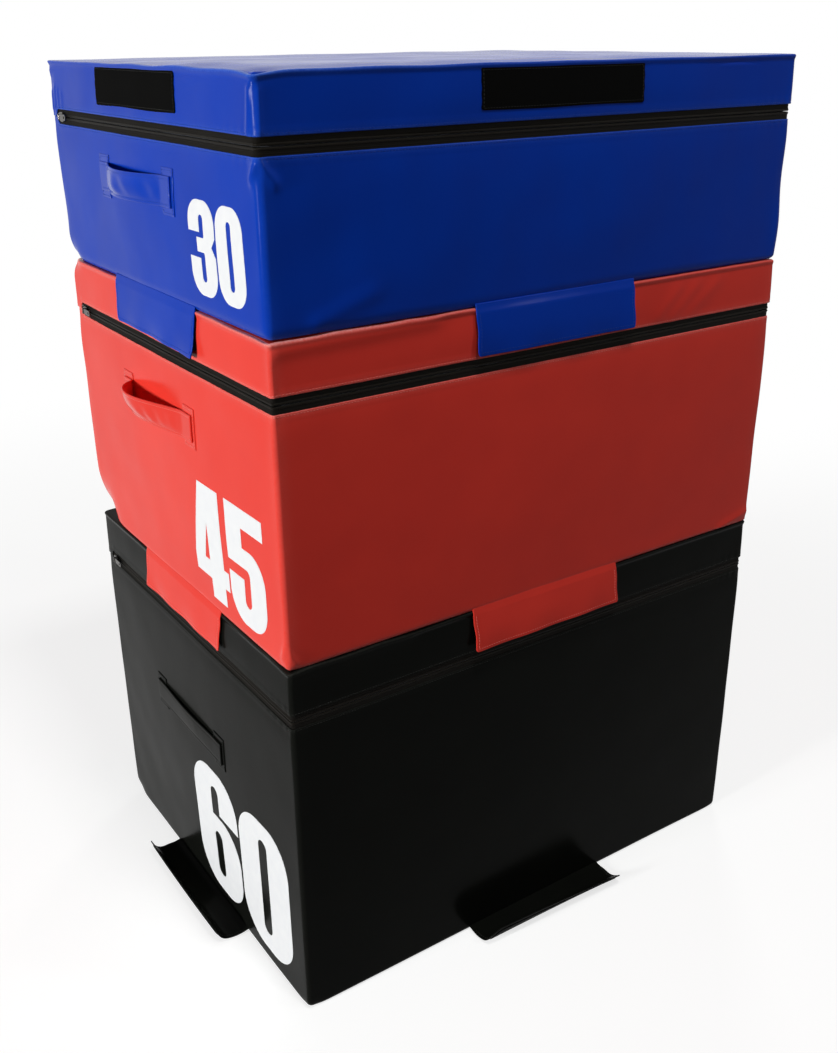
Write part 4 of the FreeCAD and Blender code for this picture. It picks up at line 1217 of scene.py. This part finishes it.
# numerals
printShape = {"cutPitch": 0.009, "mergeWithin": 0.00002, "cutWithin": 0.00001}
for box in boxNames:
    # the CAD numerals, cut into strips both ways so that they can follow the wall's waves
    work = bmesh.new()
    work.from_mesh(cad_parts[box + "_numerals"].data)
    bmesh.ops.remove_doubles(work, verts=work.verts, dist=printShape["mergeWithin"])
    low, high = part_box(box + "_numerals")
    pitch, within = printShape["cutPitch"], printShape["cutWithin"]
    for axis in (1, 2):
        for place in np.arange(low[axis] + pitch / 2, high[axis], pitch):
            point, direction = Vector((0, 0, 0)), Vector((0, 0, 0))
            point[axis], direction[axis] = place, 1.0
            everything = work.verts[:] + work.edges[:] + work.faces[:]
            bmesh.ops.bisect_plane(work, geom=everything, plane_co=point, plane_no=direction, dist=within)
    mesh = bpy.data.meshes.new(box + "_numerals_ink")
    work.to_mesh(mesh)
    work.free()
    points = np.zeros(len(mesh.vertices) * 3, np.float32)
    mesh.vertices.foreach_get("co", points)
    points = points.reshape(-1, 3).astype(float)
    points[:, 0] -= sideStandOff(box, "tub", "left", -points[:, 1], points[:, 2])
    mesh.vertices.foreach_set("co", points.astype(np.float32).ravel())
    mesh.update()
    mesh.materials.clear()
    mesh.materials.append(whiteInk)
    piece = placed(box + "_numerals_ink", mesh)
    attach(piece, box + "_tub")
    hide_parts(box + "_numerals")
print("numerals made")


# the sewn hinge along the back of each lid
bindShape = {
    "high": 0.018,
    "thick": 0.0011,
    "short": 0.024,  # of the corner, at each end
    "out": 0.0016,
    "rib": 0.0002,
    "ribPitch": 0.003,
    "cell": (0.0015, 0.006),
}
for box in boxNames:
    b, high = levels[box], bindShape["high"]
    length = 2 * (b["halfX"] - bindShape["short"])
    a = centred(length, bindShape["cell"][1])[None]
    t = centred(high, bindShape["cell"][0])[:, None]
    lift = sideStandOff(box, "tub", "back", a, b["zip"])
    rise = bindShape["out"] + bindShape["rib"] * np.cos(t * 2 * np.pi / bindShape["ribPitch"])
    middle = sidePoints(box, "back", a, lift + rise, b["zip"] + t)
    shape = slab(middle, roundedEdge(t + high / 2, a, high, length, bindShape["thick"]))
    piece = makePiece(f"{box}_back_hinge_binding", shape, vinyl[box], None)
    end = (0, b["halfY"], b["zip"] + high / 2)
    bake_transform(piece)
print("hinge bindings made")


# floor, light and camera
studio = {
    "floorHalf": 30.0,
    "floorHex": "#B9B9B8",
    "floorSeen": 0.70,  # how much of the floor's white the camera sees beyond the light that falls on it
    "floorBounceHex": "#5A5A5A",
    "nearFloor": 1.0,  # the floor fades into the white surround between these distances
    "farFloor": 3.2,
    "worldLevel": 0.06,
    "aim": (0.0, 0.0, 0.65),
}
lamps = {  # place, size and power
    "key": ((-5.4, -0.46, 1.15), 0.85, 246),
    "fill": ((2.4, -3.2, 2.6), 0.5, 20),
    "top": ((-0.3, -1.3, 4.0), 0.42, 43),
    "back": ((3.4, 3.2, 0.8), 1.0, 85),  # behind, for the sides that the photo doesn't show
}
cameraFit = {  # fitted to the corners of the boxes in the photo, angles in degrees
    "lens": 39.188,
    "sensor": 36,
    "place": (-1.0462, -1.5479, 1.3873),
    "yaw": 55.952,
    "pitch": -23.416,
    "roll": -0.575,
}


def seenRays(tree):
    # 1 for rays that show a surface, straight, mirrored or through glass, and 0 for light that it throws back
    camera, glossy, through = [
        addNode(tree, "LightPath", out=f"Is {kind} Ray") for kind in ("Camera", "Glossy", "Transmission")
    ]
    either = addNode(tree, "Math", {"operation": "MAXIMUM"}, {0: camera, 1: glossy})
    return addNode(tree, "Math", {"operation": "MAXIMUM"}, {0: either, 1: through})


def paleFloor():
    # matt pale floor: seen near white, while the light it throws back on the object stays modest
    material = bpy.data.materials.new("mattPaleFloor")
    material.use_nodes = True
    tree = material.node_tree
    tree.nodes.clear()
    matt = addNode(tree, "BsdfDiffuse", {"Color": toLinear(studio["floorHex"])})
    dim = addNode(tree, "BsdfDiffuse", {"Color": toLinear(studio["floorBounceHex"])})
    glow = addNode(tree, "Emission", {"Strength": studio["floorSeen"]})
    white = addNode(tree, "Emission", {"Strength": 1.0})
    lit = addNode(tree, "AddShader", None, {0: matt, 1: glow})
    place = addNode(tree, "TexCoord", out="Object")
    away = addNode(tree, "VectorMath", {"operation": "LENGTH"}, {0: place}, "Value")
    span = {"From Min": studio["nearFloor"], "From Max": studio["farFloor"]}
    fade = addNode(tree, "MapRange", {"interpolation_type": "SMOOTHSTEP", **span}, {"Value": away})
    shown = addNode(tree, "MixShader", None, {0: fade, 1: lit, 2: white})
    mix = addNode(tree, "MixShader", None, {0: seenRays(tree), 1: dim, 2: shown})
    addNode(tree, "OutputMaterial", None, {"Surface": mix})
    return material


def aimed(obj, place, toward, roll=0.0):
    # an object set in its place, looking along a direction
    obj.location = place
    obj.rotation_mode = "QUATERNION"
    obj.rotation_quaternion = toward.to_track_quat("-Z", "Y") @ Quaternion((0, 0, 1), math.radians(roll))


half = studio["floorHalf"]
floorMesh = bpy.data.meshes.new("studioFloor")
floorCorners = [(-half, -half, 0), (half, -half, 0), (half, half, 0), (-half, half, 0)]
floorMesh.from_pydata(floorCorners, [], [(0, 1, 2, 3)])
floorMesh.materials.append(paleFloor())
placed("studioFloor", floorMesh)

world = bpy.data.worlds.new("studioWorld")
bpy.context.scene.world = world
world.use_nodes = True
tree = world.node_tree
tree.nodes.clear()
span = {"To Min": studio["worldLevel"], "To Max": 1.0}
strength = addNode(tree, "MapRange", span, {"Value": seenRays(tree)})
sky = addNode(tree, "Background", {"Color": (1, 1, 1, 1)}, {"Strength": strength})
addNode(tree, "OutputWorld", None, {"Surface": sky})

for name, (place, size, power) in lamps.items():
    lamp = bpy.data.lights.new(name + "Softbox", "AREA")
    lamp.shape = "SQUARE"
    lamp.size = size
    lamp.energy = power
    aimed(placed(name + "Softbox", lamp), place, Vector(studio["aim"]) - Vector(place))

cameraData = bpy.data.cameras.new("photoView")
cameraData.lens = cameraFit["lens"]
cameraData.sensor_width = cameraFit["sensor"]
camera = placed("photoView", cameraData)
yaw, pitch = math.radians(cameraFit["yaw"]), math.radians(cameraFit["pitch"])
ahead = Vector((math.cos(pitch) * math.cos(yaw), math.cos(pitch) * math.sin(yaw), math.sin(pitch)))
aimed(camera, cameraFit["place"], ahead, cameraFit["roll"])
bpy.context.scene.camera = camera
bpy.context.scene.view_settings.view_transform = "Standard"
print("floor, light and camera made")
